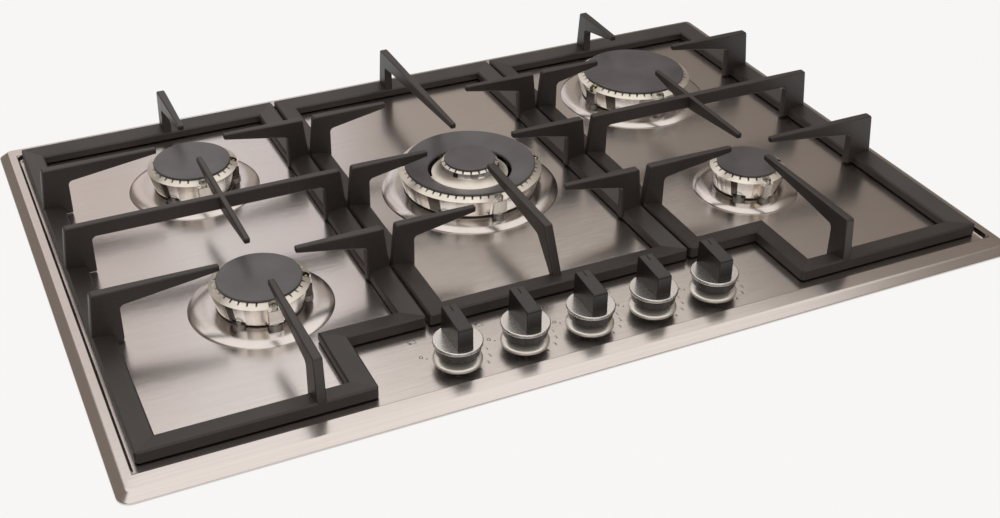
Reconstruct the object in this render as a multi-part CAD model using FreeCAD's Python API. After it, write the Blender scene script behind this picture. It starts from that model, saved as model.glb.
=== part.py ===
import FreeCAD, Part
import math
import os
from FreeCAD import Vector

# Built-in gas cooktop of the 75 cm class: five burners, five top knobs, three pan supports.
# Frame: +X to the right seen from the front, +Y to the back, +Z up. The origin is the middle of the
# underside. Names that end in _H are heights above the worktop, and level() turns them into Z.

# ---- driving dimensions, millimetres ---------------------------------------------------------------
# top plate, pressed from sheet
PLATE_W = 744.0
PLATE_D = 510.0
PLATE_T = 1.0
PLATE_CORNER_R = 10.0
RIM_H = 7.0                  # top of the flat rim
EDGE_LIP_H = 1.0             # upright lip at the foot of the sloped edge
EDGE_RUN = 7.6               # width of the sloped edge seen from above
RIM_FLAT_FRONT = 13.2        # flat rim, front and back
RIM_FLAT_SIDE = 6.5          # flat rim, left and right
WELL_DEPTH = 4.0             # recess that the pan supports stand in
WELL_WALL_RUN = 1.4
WELL_CORNER_R = 6.0
DOME_RISE = 4.0              # raised round each burner
DOME_RUN = 7.0

# lower case
TRAY_W = 550.0
TRAY_D = 470.0
TRAY_DEPTH = 46.0            # below the worktop
TRAY_T = 1.0
TRAY_CORNER_R = 6.0
POCKET_W = 70.0              # recess in the rear right corner for the gas connection
POCKET_D = 52.0
POCKET_ROOF_H = -12.0
VENT_SLOT_L = 46.0
VENT_SLOT_W = 4.0
VENT_PITCH = 12.0
VENT_COUNT = 8
VENT_ROW_Y = 80.0
SEAL_W = 4.0

# burners: places, radii of the caps and of the domes pressed in the plate round them
ROW_MID_Y = 21.5
ROW_PITCH = 99.5
COLUMN_X = 222.0
MEDIUM_CAP_R = 33.3
LARGE_CAP_R = 48.7
SMALL_CAP_R = 26.8
RING_CAP_R = 57.2
MEDIUM_DOME_R = 57.0
LARGE_DOME_R = 71.0
SMALL_DOME_R = 46.0
CENTRE_DOME_R = 78.0

# burner section: heights, and radii counted from the cap's radius
CAP_T = 2.2
CAP_EDGE = 0.7
CAP_RIM_T = 1.6              # locating rim under the cap
CAP_RIM_L = 1.8
CROWN_FOOT_H = 11.4
CROWN_BREAK_H = 25.2
CROWN_TOP_H = 28.0
CROWN_FOOT_OUT = 2.2
CROWN_BREAK_OUT = 5.8
CROWN_WALL = 3.0
CROWN_DECK_T = 2.4
CROWN_DECK_DROP = 3.4        # gas space between deck and cap
CROWN_RIM_W = 4.0
CROWN_LIP_L = 2.2            # lip that centres the crown in the cup
CROWN_LIP_T = 2.0
VENTURI_R = 8.5
VENTURI_WALL = 2.0
VENTURI_FOOT_H = -2.0
PORT_W = 1.5                 # flame port
PORT_PITCH = 6.8
PORT_DEPTH = 1.4
CUP_NECK_IN = 2.0
CUP_BODY_IN = 6.0
CUP_WALL = 2.5
CUP_FLANGE_T = 1.6
CUP_FLOOR_H = -14.0
HOLDER_R = 11.0              # injector holder under the cup
PORT_BOSS_R = 6.5            # gas inlet boss of the holder
PORT_BOSS_L = 20.0
INJECTOR_R = 4.0
INJECTOR_HEAD_R = 5.2
INJECTOR_HEAD_T = 4.0
INJECTOR_L = 9.0
INJECTOR_ORIFICE_R = 0.7

# wok burner in the centre: outer crown under a sloping ring cap, small inner crown
RING_SEAT_H = 27.0
RING_SEAT_W = 3.0
RING_INNER_R = 36.8
RING_DROP = 6.6
RING_WALL = 2.4              # inner wall of the outer gas channel
CHANNEL_FLOOR_H = 14.5
INNER_CAP_R = 22.5
INNER_SEAT_H = 31.0
INNER_SHOULDER_R = 24.7        # end of the bevel that the ports open in
INNER_SHOULDER_H = 29.6
INNER_WAIST_R = 27.3           # the skirt curves in here
INNER_WAIST_H = 22.9
INNER_SKIRT_R = 33.6
INNER_SKIRT_H = 19.4
INNER_FOOT_H = 11.5
ARM_W = 15.0                 # arms that carry gas from the middle to the outer channel
ARM_H = 8.0
ARM_COUNT = 3
ARM_FIRST_ANGLE = 65.0
ARM_BORE_R = 2.2

# ignition and flame sensing beside each crown
PIN_OUT = 2.4                # axis of electrode and sensor past the cap's radius
SPARK_ANGLE = -90.0
SENSOR_ANGLE = -12.0
SENSOR_ANGLE_RIGHT_REAR = 192.0
CERAMIC_R = 2.6
CERAMIC_COLLAR_R = 3.6
CERAMIC_COLLAR_T = 1.4
CERAMIC_FOOT_H = -20.0
CERAMIC_TOP_H = 24.6
SPARK_PIN_R = 0.8
SPARK_PIN_HEAD_R = 1.5
SPARK_PIN_HEAD_T = 0.8
SPARK_PIN_TOP_H = 26.8
SPARK_PIN_FOOT_H = -27.0
SENSOR_R = 1.6
SENSOR_TOP_H = 26.4
SENSOR_FOOT_H = -24.0
SENSOR_NUT_R = 3.0
SENSOR_NUT_FOOT_H = -8.0
SENSOR_NUT_TOP_H = 13.0
LUG_T = 2.5                  # lugs of the cup that hold electrode, sensor and screws
LUG_R = 5.0
BOSS_W = 12.0                # flat boss on the crown round a pin
BOSS_OUT = 6.4
BOSS_TOP_H = 22.4
RECESS_R = 3.9               # open recess above the boss

# pan supports
GRATE_SIDE_X = 353.3
GRATE_BACK_Y = 232.4
GRATE_FRONT_Y = -222.3
STEP_FRONT_Y = -157.5        # front of the middle support and of the steps beside the knobs
NOTCH_X = 179.5
SPLIT_X = 115.0              # line between two supports
SPLIT_GAP = 2.4
BAR_W = 17.6
BAR_FOOT_H = 4.2
BAR_TOP_H = 13.7
BAR_SLOPE = 2.4              # the top of a bar falls towards the inside
BAR_EDGE = 1.3
BAR_CORNER_R = 3.0
FINGER_TOP_H = 49.1
FINGER_TIP_T = 5.0
FINGER_ROOT_T = 7.5
FINGER_TIP_D = 5.0
FINGER_ROOT_D = 14.5
FINGER_EDGE_R = 1.3
FINGER_CORNER_R = 2.5
LEG_SIDE_W = 24.5
LEG_SPLIT_W = 19.2           # legs beside the line between two supports
LEG_FRONT_W = 22.0
LEG_BACK_W = 17.0
LEG_LEAN = 3.9
LEG_INSIDE_R = 4.0
LEG_SINK = 1.0               # a leg ends this far above the foot of its bar
CROSS_T = 6.4
CROSS_D = 12.5
CROSS_FLAT = 9.0
TIP_GAP_MEDIUM = 30.0        # burner axis to finger tip
TIP_GAP_LARGE = 42.0
TIP_GAP_SMALL = 20.0
TIP_GAP_CENTRE = 40.5
TIP_GAP_CENTRE_BACK = 35.0
TIP_GAP_CENTRE_FRONT = 42.5
STAR_SHIFT = 4.0             # tips round a front burner stand this much further forward
FRONT_FINGER_Y = -128.5      # outer end of the middle support's front finger
FRONT_LEG_W = 9.0
FRONT_LEG_FOOT_IN = 13.5     # bar's front face to the middle of the leaning leg
FRONT_LEG_ROOT_IN = 12.0
FOOT_R = 4.5
FOOT_STEM_R = 2.2
FOOT_STEM_L = 3.0

# knobs and taps
KNOB_COUNT = 5
KNOB_PITCH = 55.0
KNOB_Y = -201.0
DISC_R = 18.8
DISC_FOOT_H = 17.2
DISC_T = 3.0
DISC_EDGE_R = 0.8
SKIRT_TOP_R = 18.2
SKIRT_FOOT_R = 17.0
SKIRT_FOOT_H = 10.6
SKIRT_WALL = 1.8
GRIP_W = 12.4
GRIP_TOP_W = 11.8
GRIP_FRONT = 14.6            # reach of the grip in front of the spindle
GRIP_REAR = 17.2
GRIP_FRONT_H = 38.0
GRIP_REAR_H = 40.6
GRIP_END_R = 2.0
GRIP_EDGE_R = 0.8
HUB_R = 7.0
KNOB_BORE_TOP_H = 31.0
BEZEL_R = 18.6
BEZEL_T = 1.3
BEZEL_EDGE = 0.5
BEZEL_COLLAR_R = 11.0
BEZEL_COLLAR_H = 6.6
BEZEL_HOLE_R = 7.8
SPINDLE_R = 4.0
SPINDLE_FLAT = 1.2           # depth of the flats on the spindle
SPINDLE_TIP_R = 3.2
SPINDLE_STEP_H = -12.0
SPINDLE_FOOT_H = -24.0
SPINDLE_HOLE_R = 6.4
TAP_W = 26.0
TAP_D = 32.0
TAP_FOOT_H = -40.0
TAP_TOP_H = -8.0
BONNET_R = 9.0
BONNET_TOP_H = 0.0
PLUG_R = 7.0
PLUG_FOOT_H = -37.0
PLUG_TOP_H = -16.0
PLUG_SOCKET_H = -28.0
PLUG_PASSAGE_R = 2.2
SPIGOT_R = 3.0
SPIGOT_L = 3.5
OUTLET_R = 6.0
OUTLET_L = 5.0

# gas ways, all on one level
GAS_H = -31.0
RAIL_R = 8.0
RAIL_WALL = 1.5
RAIL_BEND_R = 24.0
RAIL_SIDE_GAP = 6.0          # to the right wall of the case
RAIL_END_OVER = 10.0         # past the outermost tap
INLET_NUT_R = 13.0
INLET_NUT_L = 12.0
INLET_SOCKET_L = 5.0
INLET_THREAD_R = 10.48       # G 1/2 outside thread
INLET_THREAD_L = 16.0
TUBE_R = 4.0
TUBE_WALL = 1.0
TUBE_BEND_R = 14.0
TUBE_SOCKET_L = 4.0
TUBE_OUTER_LANE_Y = -160.0
TUBE_INNER_LANE_Y = -140.0
TUBE_SIDE_LANE_X = 158.0
TUBE_REAR_LANE_Y = 62.0

# electrical pieces
IGNITION_W = 92.0
IGNITION_D = 44.0
IGNITION_TALL = 26.0
IGNITION_Y = 160.0
IGNITION_SPIGOT_R = 3.0
IGNITION_SPIGOT_L = 8.0
TERMINAL_W = 58.0
TERMINAL_D = 30.0
TERMINAL_TALL = 24.0
TERMINAL_X = -150.0
GLAND_R = 8.0
GLAND_L = 4.0
GLAND_BORE_R = 3.6
BOX_CORNER_R = 3.0

# fixings
BRACKET_W = 16.0
BRACKET_L = 16.0
BRACKET_T = 1.5
SCREW_R = 2.0
SCREW_L = 8.0
SCREW_HEAD_R = 4.0
SCREW_HEAD_T = 2.4
SCREW_SOCKET_R = 1.2
SCREW_DROP = 9.0             # case screws below the top of the case
CASE_SCREW_FRONT_Y = -115.0
CASE_SCREW_BACK_Y = 75.0
CASE_SCREW_X = 190.0
CUP_SCREW_R = 1.5
CUP_SCREW_HEAD_R = 2.6
CUP_SCREW_HEAD_T = 1.5
CUP_SCREW_L = 8.0
CUP_SCREW_OUT = 1.5
CUP_SCREW_ANGLE = 45.0
CLAMP_W = 22.0
CLAMP_T = 2.0
CLAMP_REACH = 22.0
CLAMP_RIB_OUT = 2.0
CLAMP_RIB_TALL = 8.0
CLAMP_SCREW_H = -10.0
CLAMP_EDGE = 6.0             # clamp metal above its screw
CLAMP_Y = 160.0
WORKTOP_MAX = 40.0           # thickest worktop that the clamps hold

# clearances
FIT = 0.05                   # running fit, radial
LOOSE = 0.3                  # seats that lift apart
HOLE_GAP = 0.5               # round what passes through plate or crown
SCREW_GAP = 0.1

# ---- values that follow ---------------------------------------------------------------------------
WELL_H = RIM_H - WELL_DEPTH
PLATE_UNDER_H = WELL_H - PLATE_T
DOME_H = WELL_H + DOME_RISE
SPINDLE_TOP_H = KNOB_BORE_TOP_H - 1.0
TAP_FRONT_Y = KNOB_Y - TAP_D / 2
TAP_BACK_Y = KNOB_Y + TAP_D / 2
RAIL_Y = TAP_FRONT_Y - RAIL_R - FIT
RAIL_X = TRAY_W / 2 - TRAY_T - RAIL_SIDE_GAP - RAIL_R
POCKET_WALL_Y = TRAY_D / 2 - POCKET_D
INJECTOR_SEAT_H = CUP_FLOOR_H + CUP_WALL
LUG_TOP_H = DOME_H + LUG_T
FOOT_INSET = BAR_W / 2
REAR_Y = ROW_MID_Y + ROW_PITCH
FRONT_Y = ROW_MID_Y - ROW_PITCH

BURNERS = {
    "left_rear": dict(x=-COLUMN_X, y=REAR_Y, r=MEDIUM_CAP_R, dome=MEDIUM_DOME_R, tip=TIP_GAP_MEDIUM,
                      sensor=SENSOR_ANGLE),
    "left_front": dict(x=-COLUMN_X, y=FRONT_Y, r=MEDIUM_CAP_R, dome=MEDIUM_DOME_R, tip=TIP_GAP_MEDIUM,
                       sensor=SENSOR_ANGLE),
    "centre": dict(x=0.0, y=ROW_MID_Y, r=RING_CAP_R, dome=CENTRE_DOME_R, tip=TIP_GAP_CENTRE,
                   sensor=SENSOR_ANGLE),
    "right_rear": dict(x=COLUMN_X, y=REAR_Y, r=LARGE_CAP_R, dome=LARGE_DOME_R, tip=TIP_GAP_LARGE,
                       sensor=SENSOR_ANGLE_RIGHT_REAR),
    "right_front": dict(x=COLUMN_X, y=FRONT_Y, r=SMALL_CAP_R, dome=SMALL_DOME_R, tip=TIP_GAP_SMALL,
                        sensor=SENSOR_ANGLE),
}


def level(height):
    """Z of a height above the worktop."""
    return TRAY_DEPTH + height


def knob_x(index):
    """X of a knob's axis, 0 at the left."""
    return (index - (KNOB_COUNT - 1) / 2) * KNOB_PITCH


# ---- shape helpers ---------------------------------------------------------------------------------
def block(x0, x1, y0, y1, h0, h1):
    """Upright box between two corners."""
    return Part.makeBox(x1 - x0, y1 - y0, h1 - h0, Vector(x0, y0, level(h0)))


def post(x, y, radius, h0, h1):
    """Upright cylinder."""
    return Part.makeCylinder(radius, h1 - h0, Vector(x, y, level(h0)))


def flatted_post(x, y, radius, h0, h1, gap):
    """Upright cylinder with one flat, grown by a gap."""
    flat_x = x + radius - SPINDLE_FLAT + gap
    flat = block(flat_x, flat_x + radius, y - 2 * radius, y + 2 * radius, h0 - 1.0, h1 + 1.0)
    return post(x, y, radius + gap, h0, h1).cut(flat)


def rod(start, end, radius):
    """Cylinder between two points."""
    return Part.makeCylinder(radius, (end - start).Length, start, end - start)


def turned(profile, x, y, via=None):
    """Solid turned about an upright axis from (radius, height) points. The last side may bend through via."""
    points = [Vector(r, 0, level(h)) for r, h in profile]
    sides = Part.makePolygon(points).Edges
    if via:
        sides.append(Part.Arc(points[-1], Vector(via[0], 0, level(via[1])), points[0]).toShape())
    else:
        sides.append(Part.makeLine(points[-1], points[0]))
    solid = Part.Face(Part.Wire(sides)).revolve(Vector(0, 0, 0), Vector(0, 0, 1), 360)
    solid.translate(Vector(x, y, 0))
    return solid


def rounded_wire(corners, place):
    """Closed wire through (a, b, radius) corners, with a tangent arc where the radius isn't 0."""
    count = len(corners)
    ends = []
    for i in range(count):
        before = Vector(*corners[i - 1][:2], 0)
        here = Vector(*corners[i][:2], 0)
        after = Vector(*corners[(i + 1) % count][:2], 0)
        radius = corners[i][2]
        if radius == 0:
            ends.append((here, here, None))
            continue
        to_before = (before - here).normalize()
        to_after = (after - here).normalize()
        half = to_before.getAngle(to_after) / 2
        reach = radius / math.tan(half)
        middle = (to_before + to_after).normalize() * (radius / math.sin(half) - radius)
        ends.append((here + to_before * reach, here + to_after * reach, here + middle))
    edges = []
    for i in range(count):
        first, last, middle = ends[i]
        following = ends[(i + 1) % count][0]
        if middle is not None:
            arc = Part.Arc(place(first.x, first.y), place(middle.x, middle.y), place(last.x, last.y))
            edges.append(arc.toShape())
        if (following - last).Length > 1e-6:
            line = Part.LineSegment(place(last.x, last.y), place(following.x, following.y))
            edges.append(line.toShape())
    return Part.Wire(edges)


def rectangle_wire(half_w, half_d, radius, height):
    """Rounded rectangle about the Z axis."""
    corners = [(half_w, half_d, radius), (-half_w, half_d, radius),
               (-half_w, -half_d, radius), (half_w, -half_d, radius)]
    return rounded_wire(corners, lambda a, b: Vector(a, b, level(height)))


def stacked(sections):
    """Solid through rounded rectangles, each (half width, half depth, corner radius, height)."""
    return Part.makeLoft([rectangle_wire(*section) for section in sections], True, True)


def rounded_block(half_w, half_d, radius, h0, h1):
    """Upright prism on a rounded rectangle."""
    return Part.Face(rectangle_wire(half_w, half_d, radius, h0)).extrude(Vector(0, 0, h1 - h0))


def polar(x, y, radius, angle):
    """Point at an angle about an upright axis."""
    turn = math.radians(angle)
    return Vector(x + radius * math.cos(turn), y + radius * math.sin(turn), 0)


def turned_to(shape, x, y, angle):
    """The shape, turned about the Z axis and then moved."""
    shape.rotate(Vector(0, 0, 0), Vector(0, 0, 1), angle)
    shape.translate(Vector(x, y, 0))
    return shape


def fused(shapes):
    """One solid out of touching or crossing ones."""
    return shapes[0].multiFuse(shapes[1:]).removeSplitter()


def without(shape, cutters):
    """The shape less all cutters."""
    return shape.cut(Part.makeCompound(cutters))


def pipe(points, radius, bend):
    """Round bar along straight runs joined by tangent arcs."""
    edges = []
    last = points[0]
    for i in range(1, len(points) - 1):
        here = points[i]
        into = (points[i - 1] - here).normalize()
        out = (points[i + 1] - here).normalize()
        half = into.getAngle(out) / 2
        start = here + into * (bend / math.tan(half))
        end = here + out * (bend / math.tan(half))
        middle = here + (into + out).normalize() * (bend / math.sin(half) - bend)
        edges.append(Part.LineSegment(last, start).toShape())
        edges.append(Part.Arc(start, middle, end).toShape())
        last = end
    edges.append(Part.LineSegment(last, points[-1]).toShape())
    ring = Part.Wire(Part.makeCircle(radius, points[0], points[1] - points[0]))
    return Part.Wire(edges).makePipeShell([ring], True, False)


def save(name, *solids):
    """Write one node."""
    shape = solids[0] if len(solids) == 1 else Part.makeCompound(list(solids))
    shape.exportStep("parts/" + name + ".step")


# ---- top plate and lower case -----------------------------------------------------------------------
def edge_sections(inset, drop):
    """Sections of the sloped outer edge, from the lip to the flat rim."""
    rise = RIM_H - EDGE_LIP_H
    slope = [(0.0, 0.0), (0.0, EDGE_LIP_H), (0.06 * EDGE_RUN, EDGE_LIP_H + 0.14 * rise),
             (0.80 * EDGE_RUN, RIM_H - 0.10 * rise), (EDGE_RUN, RIM_H)]
    sections = []
    for run, height in slope:
        back = run + inset
        radius = PLATE_CORNER_R - 0.8 * back
        sections.append((PLATE_W / 2 - back, PLATE_D / 2 - back, radius, height - drop))
    return sections


def well_sections(grow, drop):
    """Sections of the recess, from its floor up past the rim."""
    half_w = PLATE_W / 2 - EDGE_RUN - RIM_FLAT_SIDE + grow
    half_d = PLATE_D / 2 - EDGE_RUN - RIM_FLAT_FRONT + grow
    sections = []
    for run, depth in [(1.0, 1.0), (0.72, 0.94), (0.28, 0.06), (0.0, 0.0)]:
        back = run * WELL_WALL_RUN
        sections.append((half_w - back, half_d - back, WELL_CORNER_R + grow - back,
                         RIM_H - depth * WELL_DEPTH - drop))
    sections.append((half_w, half_d, WELL_CORNER_R + grow, RIM_H + 1.0))
    return sections


def dome(burner, drop):
    """Raised part of the plate under a burner."""
    r = burner["dome"] - drop
    foot = PLATE_UNDER_H - PLATE_T
    profile = [(0, foot), (r, foot), (r, WELL_H - drop),
               (r - 0.3 * DOME_RUN, WELL_H + 0.12 * DOME_RISE - drop),
               (r - 0.7 * DOME_RUN, WELL_H + 0.88 * DOME_RISE - drop),
               (r - DOME_RUN, DOME_H - drop), (0, DOME_H - drop)]
    return turned(profile, burner["x"], burner["y"])


def top_plate():
    """Pressed sheet: the outer form less the same form set in by the sheet's thickness."""
    form = stacked(edge_sections(0.0, 0.0)).cut(stacked(well_sections(0.0, 0.0)))
    form = form.multiFuse([dome(burner, 0.0) for burner in BURNERS.values()])
    inside = stacked(edge_sections(PLATE_T, PLATE_T)).cut(stacked(well_sections(PLATE_T, PLATE_T)))
    inside = inside.multiFuse([dome(burner, PLATE_T) for burner in BURNERS.values()])
    foot, top = -1.0, RIM_H + 1.0
    holes = [post(knob_x(i), KNOB_Y, SPINDLE_HOLE_R, foot, top) for i in range(KNOB_COUNT)]
    for burner in BURNERS.values():
        spark, sensor = spark_place(burner), sensor_place(burner)
        holes.append(post(burner["x"], burner["y"], cup_body_r(burner) + HOLE_GAP, foot, top))
        holes.append(post(spark.x, spark.y, CERAMIC_R + HOLE_GAP, foot, top))
        holes.append(post(sensor.x, sensor.y, SENSOR_NUT_R + HOLE_GAP, foot, top))
        holes += [post(p.x, p.y, CUP_SCREW_R + SCREW_GAP, foot, top) for p in cup_screw_places(burner)]
    return without(form.cut(inside), holes)


def worktop_seal():
    """Foam strip under the rim."""
    half_w = PLATE_W / 2 - EDGE_RUN - PLATE_T
    half_d = PLATE_D / 2 - EDGE_RUN - PLATE_T
    top = RIM_H - PLATE_T
    outer = rounded_block(half_w, half_d, WELL_CORNER_R, 0.0, top)
    inner_r = WELL_CORNER_R - SEAL_W
    return outer.cut(rounded_block(half_w - SEAL_W, half_d - SEAL_W, inner_r, -1.0, top + 1.0))


def tray_form(inset, foot, roof, top):
    """Block of the lower case with its corner pocket left out."""
    form = rounded_block(TRAY_W / 2 - inset, TRAY_D / 2 - inset, TRAY_CORNER_R - inset, foot, top)
    pocket = block(TRAY_W / 2 - POCKET_W - inset, TRAY_W, POCKET_WALL_Y - inset, TRAY_D, foot - 1.0, roof)
    return form.cut(pocket)


def bottom_tray():
    """Lower case with openings for the gas rail, the cord gland, screws and air."""
    outer = tray_form(0.0, -TRAY_DEPTH, POCKET_ROOF_H - TRAY_T, PLATE_UNDER_H)
    inner = tray_form(TRAY_T, -TRAY_DEPTH + TRAY_T, POCKET_ROOF_H, PLATE_UNDER_H + 1.0)
    wall = Vector(0, 2 * TRAY_T, 0)
    rail = Vector(RAIL_X, POCKET_WALL_Y, level(GAS_H))
    cutters = [rod(rail - wall, rail + wall, RAIL_R + SCREW_GAP)]
    gland = gland_place()
    cutters.append(rod(gland - wall, gland + wall, GLAND_R + SCREW_GAP))
    for place, direction in case_screw_places() + clamp_screw_places():
        reach = direction * 2 * TRAY_T
        cutters.append(rod(place - reach, place + reach, SCREW_R + SCREW_GAP))
    for y in (-VENT_ROW_Y, VENT_ROW_Y):
        for i in range(VENT_COUNT):
            x = (i - (VENT_COUNT - 1) / 2) * VENT_PITCH
            cutters.append(block(x - VENT_SLOT_W / 2, x + VENT_SLOT_W / 2, y - VENT_SLOT_L / 2,
                                 y + VENT_SLOT_L / 2, -TRAY_DEPTH - 1.0, -TRAY_DEPTH + TRAY_T + 1.0))
    return without(outer.cut(inner), cutters)


def case_screw_places():
    """Screws through the walls of the case, each with its outward direction."""
    h = level(PLATE_UNDER_H - SCREW_DROP)
    places = []
    for side in (-1, 1):
        for y in (CASE_SCREW_FRONT_Y, CASE_SCREW_BACK_Y):
            places.append((Vector(side * TRAY_W / 2, y, h), Vector(side, 0, 0)))
        for x in (-CASE_SCREW_X, CASE_SCREW_X):
            places.append((Vector(x, side * TRAY_D / 2, h), Vector(0, side, 0)))
    return places


def clamp_screw_places():
    """Screws that hold the worktop clamps on the side walls."""
    places = []
    for side in (-1, 1):
        for y in (-CLAMP_Y, CLAMP_Y):
            places.append((Vector(side * TRAY_W / 2, y, level(CLAMP_SCREW_H)), Vector(side, 0, 0)))
    return places


def oriented_block(place, direction, out0, out1, half_w, h0, h1):
    """Box that reaches from out0 to out1 along a level direction."""
    side = Vector(-direction.y, direction.x, 0) * half_w
    near, far = place + direction * out0, place + direction * out1
    points = [Vector(p.x, p.y, level(h0)) for p in (near - side, far - side, far + side, near + side)]
    return Part.Face(Part.makePolygon(points + [points[0]])).extrude(Vector(0, 0, h1 - h0))


def plate_bracket(place, direction):
    """Angle under the plate, inside the case wall."""
    top, half, wall = PLATE_UNDER_H, BRACKET_W / 2, -TRAY_T
    leg = oriented_block(place, direction, wall - BRACKET_T, wall, half, top - BRACKET_L, top)
    shelf = oriented_block(place, direction, wall - BRACKET_L, wall, half, top - BRACKET_T, top)
    hole = rod(place - direction * BRACKET_L, place, SCREW_R + SCREW_GAP)
    return fused([leg, shelf]).cut(hole)


def pan_screw(seat, outward, radius, length, head_r, head_t):
    """Pan head screw. The head rests on the seat, and the shank points the other way."""
    head = rod(seat, seat + outward * head_t, head_r)
    shank = rod(seat - outward * length, seat, radius)
    socket = rod(seat + outward * (head_t / 2), seat + outward * (head_t + 1.0), SCREW_SOCKET_R)
    return fused([head, shank]).cut(socket)


def case_screws():
    """The screws of the case, then those of the clamps, whose heads rest on the clamps."""
    sizes = (SCREW_R, SCREW_L, SCREW_HEAD_R, SCREW_HEAD_T)
    screws = [pan_screw(place, outward, *sizes) for place, outward in case_screw_places()]
    for place, outward in clamp_screw_places():
        screws.append(pan_screw(place + outward * CLAMP_T, outward, *sizes))
    return screws


def worktop_clamp(place, direction):
    """Steel clamp that grips the worktop from below."""
    foot_h = -WORKTOP_MAX - CLAMP_T
    strip = oriented_block(place, direction, 0.0, CLAMP_T, CLAMP_W / 2, foot_h, CLAMP_SCREW_H + CLAMP_EDGE)
    foot = oriented_block(place, direction, 0.0, CLAMP_REACH, CLAMP_W / 2, foot_h, -WORKTOP_MAX)
    rib = oriented_block(place, direction, 0.0, CLAMP_T + CLAMP_RIB_OUT, CLAMP_T / 2, foot_h,
                         -WORKTOP_MAX + CLAMP_RIB_TALL)
    hole = rod(place - direction, place + direction * (CLAMP_T + 1.0), SCREW_R + SCREW_GAP)
    return fused([strip, foot, rib]).cut(hole)


# ---- burners ----------------------------------------------------------------------------------------
def cup_neck_r(burner):
    """Outer radius of the cup above the plate."""
    return burner["r"] - CUP_NECK_IN


def cup_body_r(burner):
    """Outer radius of the cup where it passes through the plate."""
    return burner["r"] - CUP_BODY_IN


def spark_place(burner):
    """Axis of the electrode."""
    return polar(burner["x"], burner["y"], burner["r"] + PIN_OUT, SPARK_ANGLE)


def sensor_place(burner):
    """Axis of the flame sensor."""
    return polar(burner["x"], burner["y"], burner["r"] + PIN_OUT, burner["sensor"])


def cup_screw_places(burner):
    """Axes of the two screws that hold a cup to the plate."""
    return [polar(burner["x"], burner["y"], burner["r"] + CUP_SCREW_OUT, angle)
            for angle in (CUP_SCREW_ANGLE, CUP_SCREW_ANGLE + 180)]


def cup_lug(burner, place):
    """Lug of the cup, on the plate, out to a pin or screw."""
    out = Vector(place.x - burner["x"], place.y - burner["y"], 0)
    start = cup_neck_r(burner) - CUP_WALL / 2
    arm = Part.makeBox(out.Length - start, 2 * LUG_R, LUG_T, Vector(start, -LUG_R, level(DOME_H)))
    turned_to(arm, burner["x"], burner["y"], math.degrees(math.atan2(out.y, out.x)))
    return [arm, post(place.x, place.y, LUG_R, DOME_H, LUG_TOP_H)]


def burner_cup(burner):
    """Cast cup that hangs in the plate, with the injector holder below it."""
    neck, body = cup_neck_r(burner), cup_body_r(burner)
    x, y = burner["x"], burner["y"]
    profile = [(HOLDER_R / 2, CUP_FLOOR_H), (body, CUP_FLOOR_H), (body, DOME_H), (neck, DOME_H),
               (neck, CROWN_FOOT_H), (neck - CUP_WALL, CROWN_FOOT_H),
               (neck - CUP_WALL, DOME_H + CUP_FLANGE_T), (body - CUP_WALL, DOME_H + CUP_FLANGE_T),
               (body - CUP_WALL, INJECTOR_SEAT_H), (HOLDER_R / 2, INJECTOR_SEAT_H)]
    spark, sensor = spark_place(burner), sensor_place(burner)
    middle = Vector(x, y, level(GAS_H))
    mouth = Vector(x, y - PORT_BOSS_L, level(GAS_H))
    past = Vector(0, 1.0, 0)
    solids = [turned(profile, x, y), post(x, y, HOLDER_R, GAS_H - PORT_BOSS_R, INJECTOR_SEAT_H)]
    solids.append(rod(middle, mouth, PORT_BOSS_R))
    for place in [spark, sensor] + cup_screw_places(burner):
        solids += cup_lug(burner, place)
    cutters = [post(x, y, INJECTOR_R + FIT, GAS_H, INJECTOR_SEAT_H + 1.0)]
    cutters.append(rod(middle, mouth - past, TUBE_R - TUBE_WALL))
    cutters.append(rod(mouth + Vector(0, TUBE_SOCKET_L, 0), mouth - past, TUBE_R + FIT))
    cutters.append(post(spark.x, spark.y, CERAMIC_R + FIT, DOME_H - 1.0, LUG_TOP_H + 1.0))
    cutters.append(post(sensor.x, sensor.y, SENSOR_NUT_R + FIT, DOME_H - 1.0, LUG_TOP_H + 1.0))
    for place in cup_screw_places(burner):
        cutters.append(post(place.x, place.y, CUP_SCREW_R + SCREW_GAP, DOME_H - 1.0, LUG_TOP_H + 1.0))
    return without(fused(solids), cutters)


def injector(burner):
    """Brass injector in its holder."""
    seat = INJECTOR_SEAT_H
    top = seat + INJECTOR_HEAD_T
    profile = [(INJECTOR_ORIFICE_R, seat - INJECTOR_L), (INJECTOR_R, seat - INJECTOR_L), (INJECTOR_R, seat),
               (INJECTOR_HEAD_R, seat), (INJECTOR_HEAD_R, seat + 0.6 * INJECTOR_HEAD_T),
               (2 * INJECTOR_ORIFICE_R, top), (INJECTOR_ORIFICE_R, top)]
    return turned(profile, burner["x"], burner["y"])


def flame_ports(burner, radius, top_h, taken):
    """Radial cutters spaced round a crown, none beside a pin."""
    count = round(2 * math.pi * radius / PORT_PITCH)
    cutters = []
    for i in range(count):
        angle = 360.0 * (i + 0.5) / count
        apart = [math.radians(abs((angle - pin + 180) % 360 - 180)) * radius for pin in taken]
        if min(apart, default=math.inf) < RECESS_R + PORT_W:
            continue
        cutter = Part.makeBox(3 * CROWN_RIM_W, PORT_W, PORT_DEPTH + 1.0,
                              Vector(radius - 1.5 * CROWN_RIM_W, -PORT_W / 2, level(top_h - PORT_DEPTH)))
        cutters.append(turned_to(cutter, burner["x"], burner["y"], angle))
    return cutters


def pin_bosses(burner):
    """Flat bosses on a crown round the electrode and the sensor."""
    bosses = []
    for angle in (SPARK_ANGLE, burner["sensor"]):
        boss = Part.makeBox(BOSS_OUT + CROWN_WALL / 2, BOSS_W, BOSS_TOP_H - CROWN_FOOT_H,
                            Vector(burner["r"] - CROWN_WALL / 2, -BOSS_W / 2, level(CROWN_FOOT_H)))
        bosses.append(turned_to(boss, burner["x"], burner["y"], angle))
    return bosses


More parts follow.
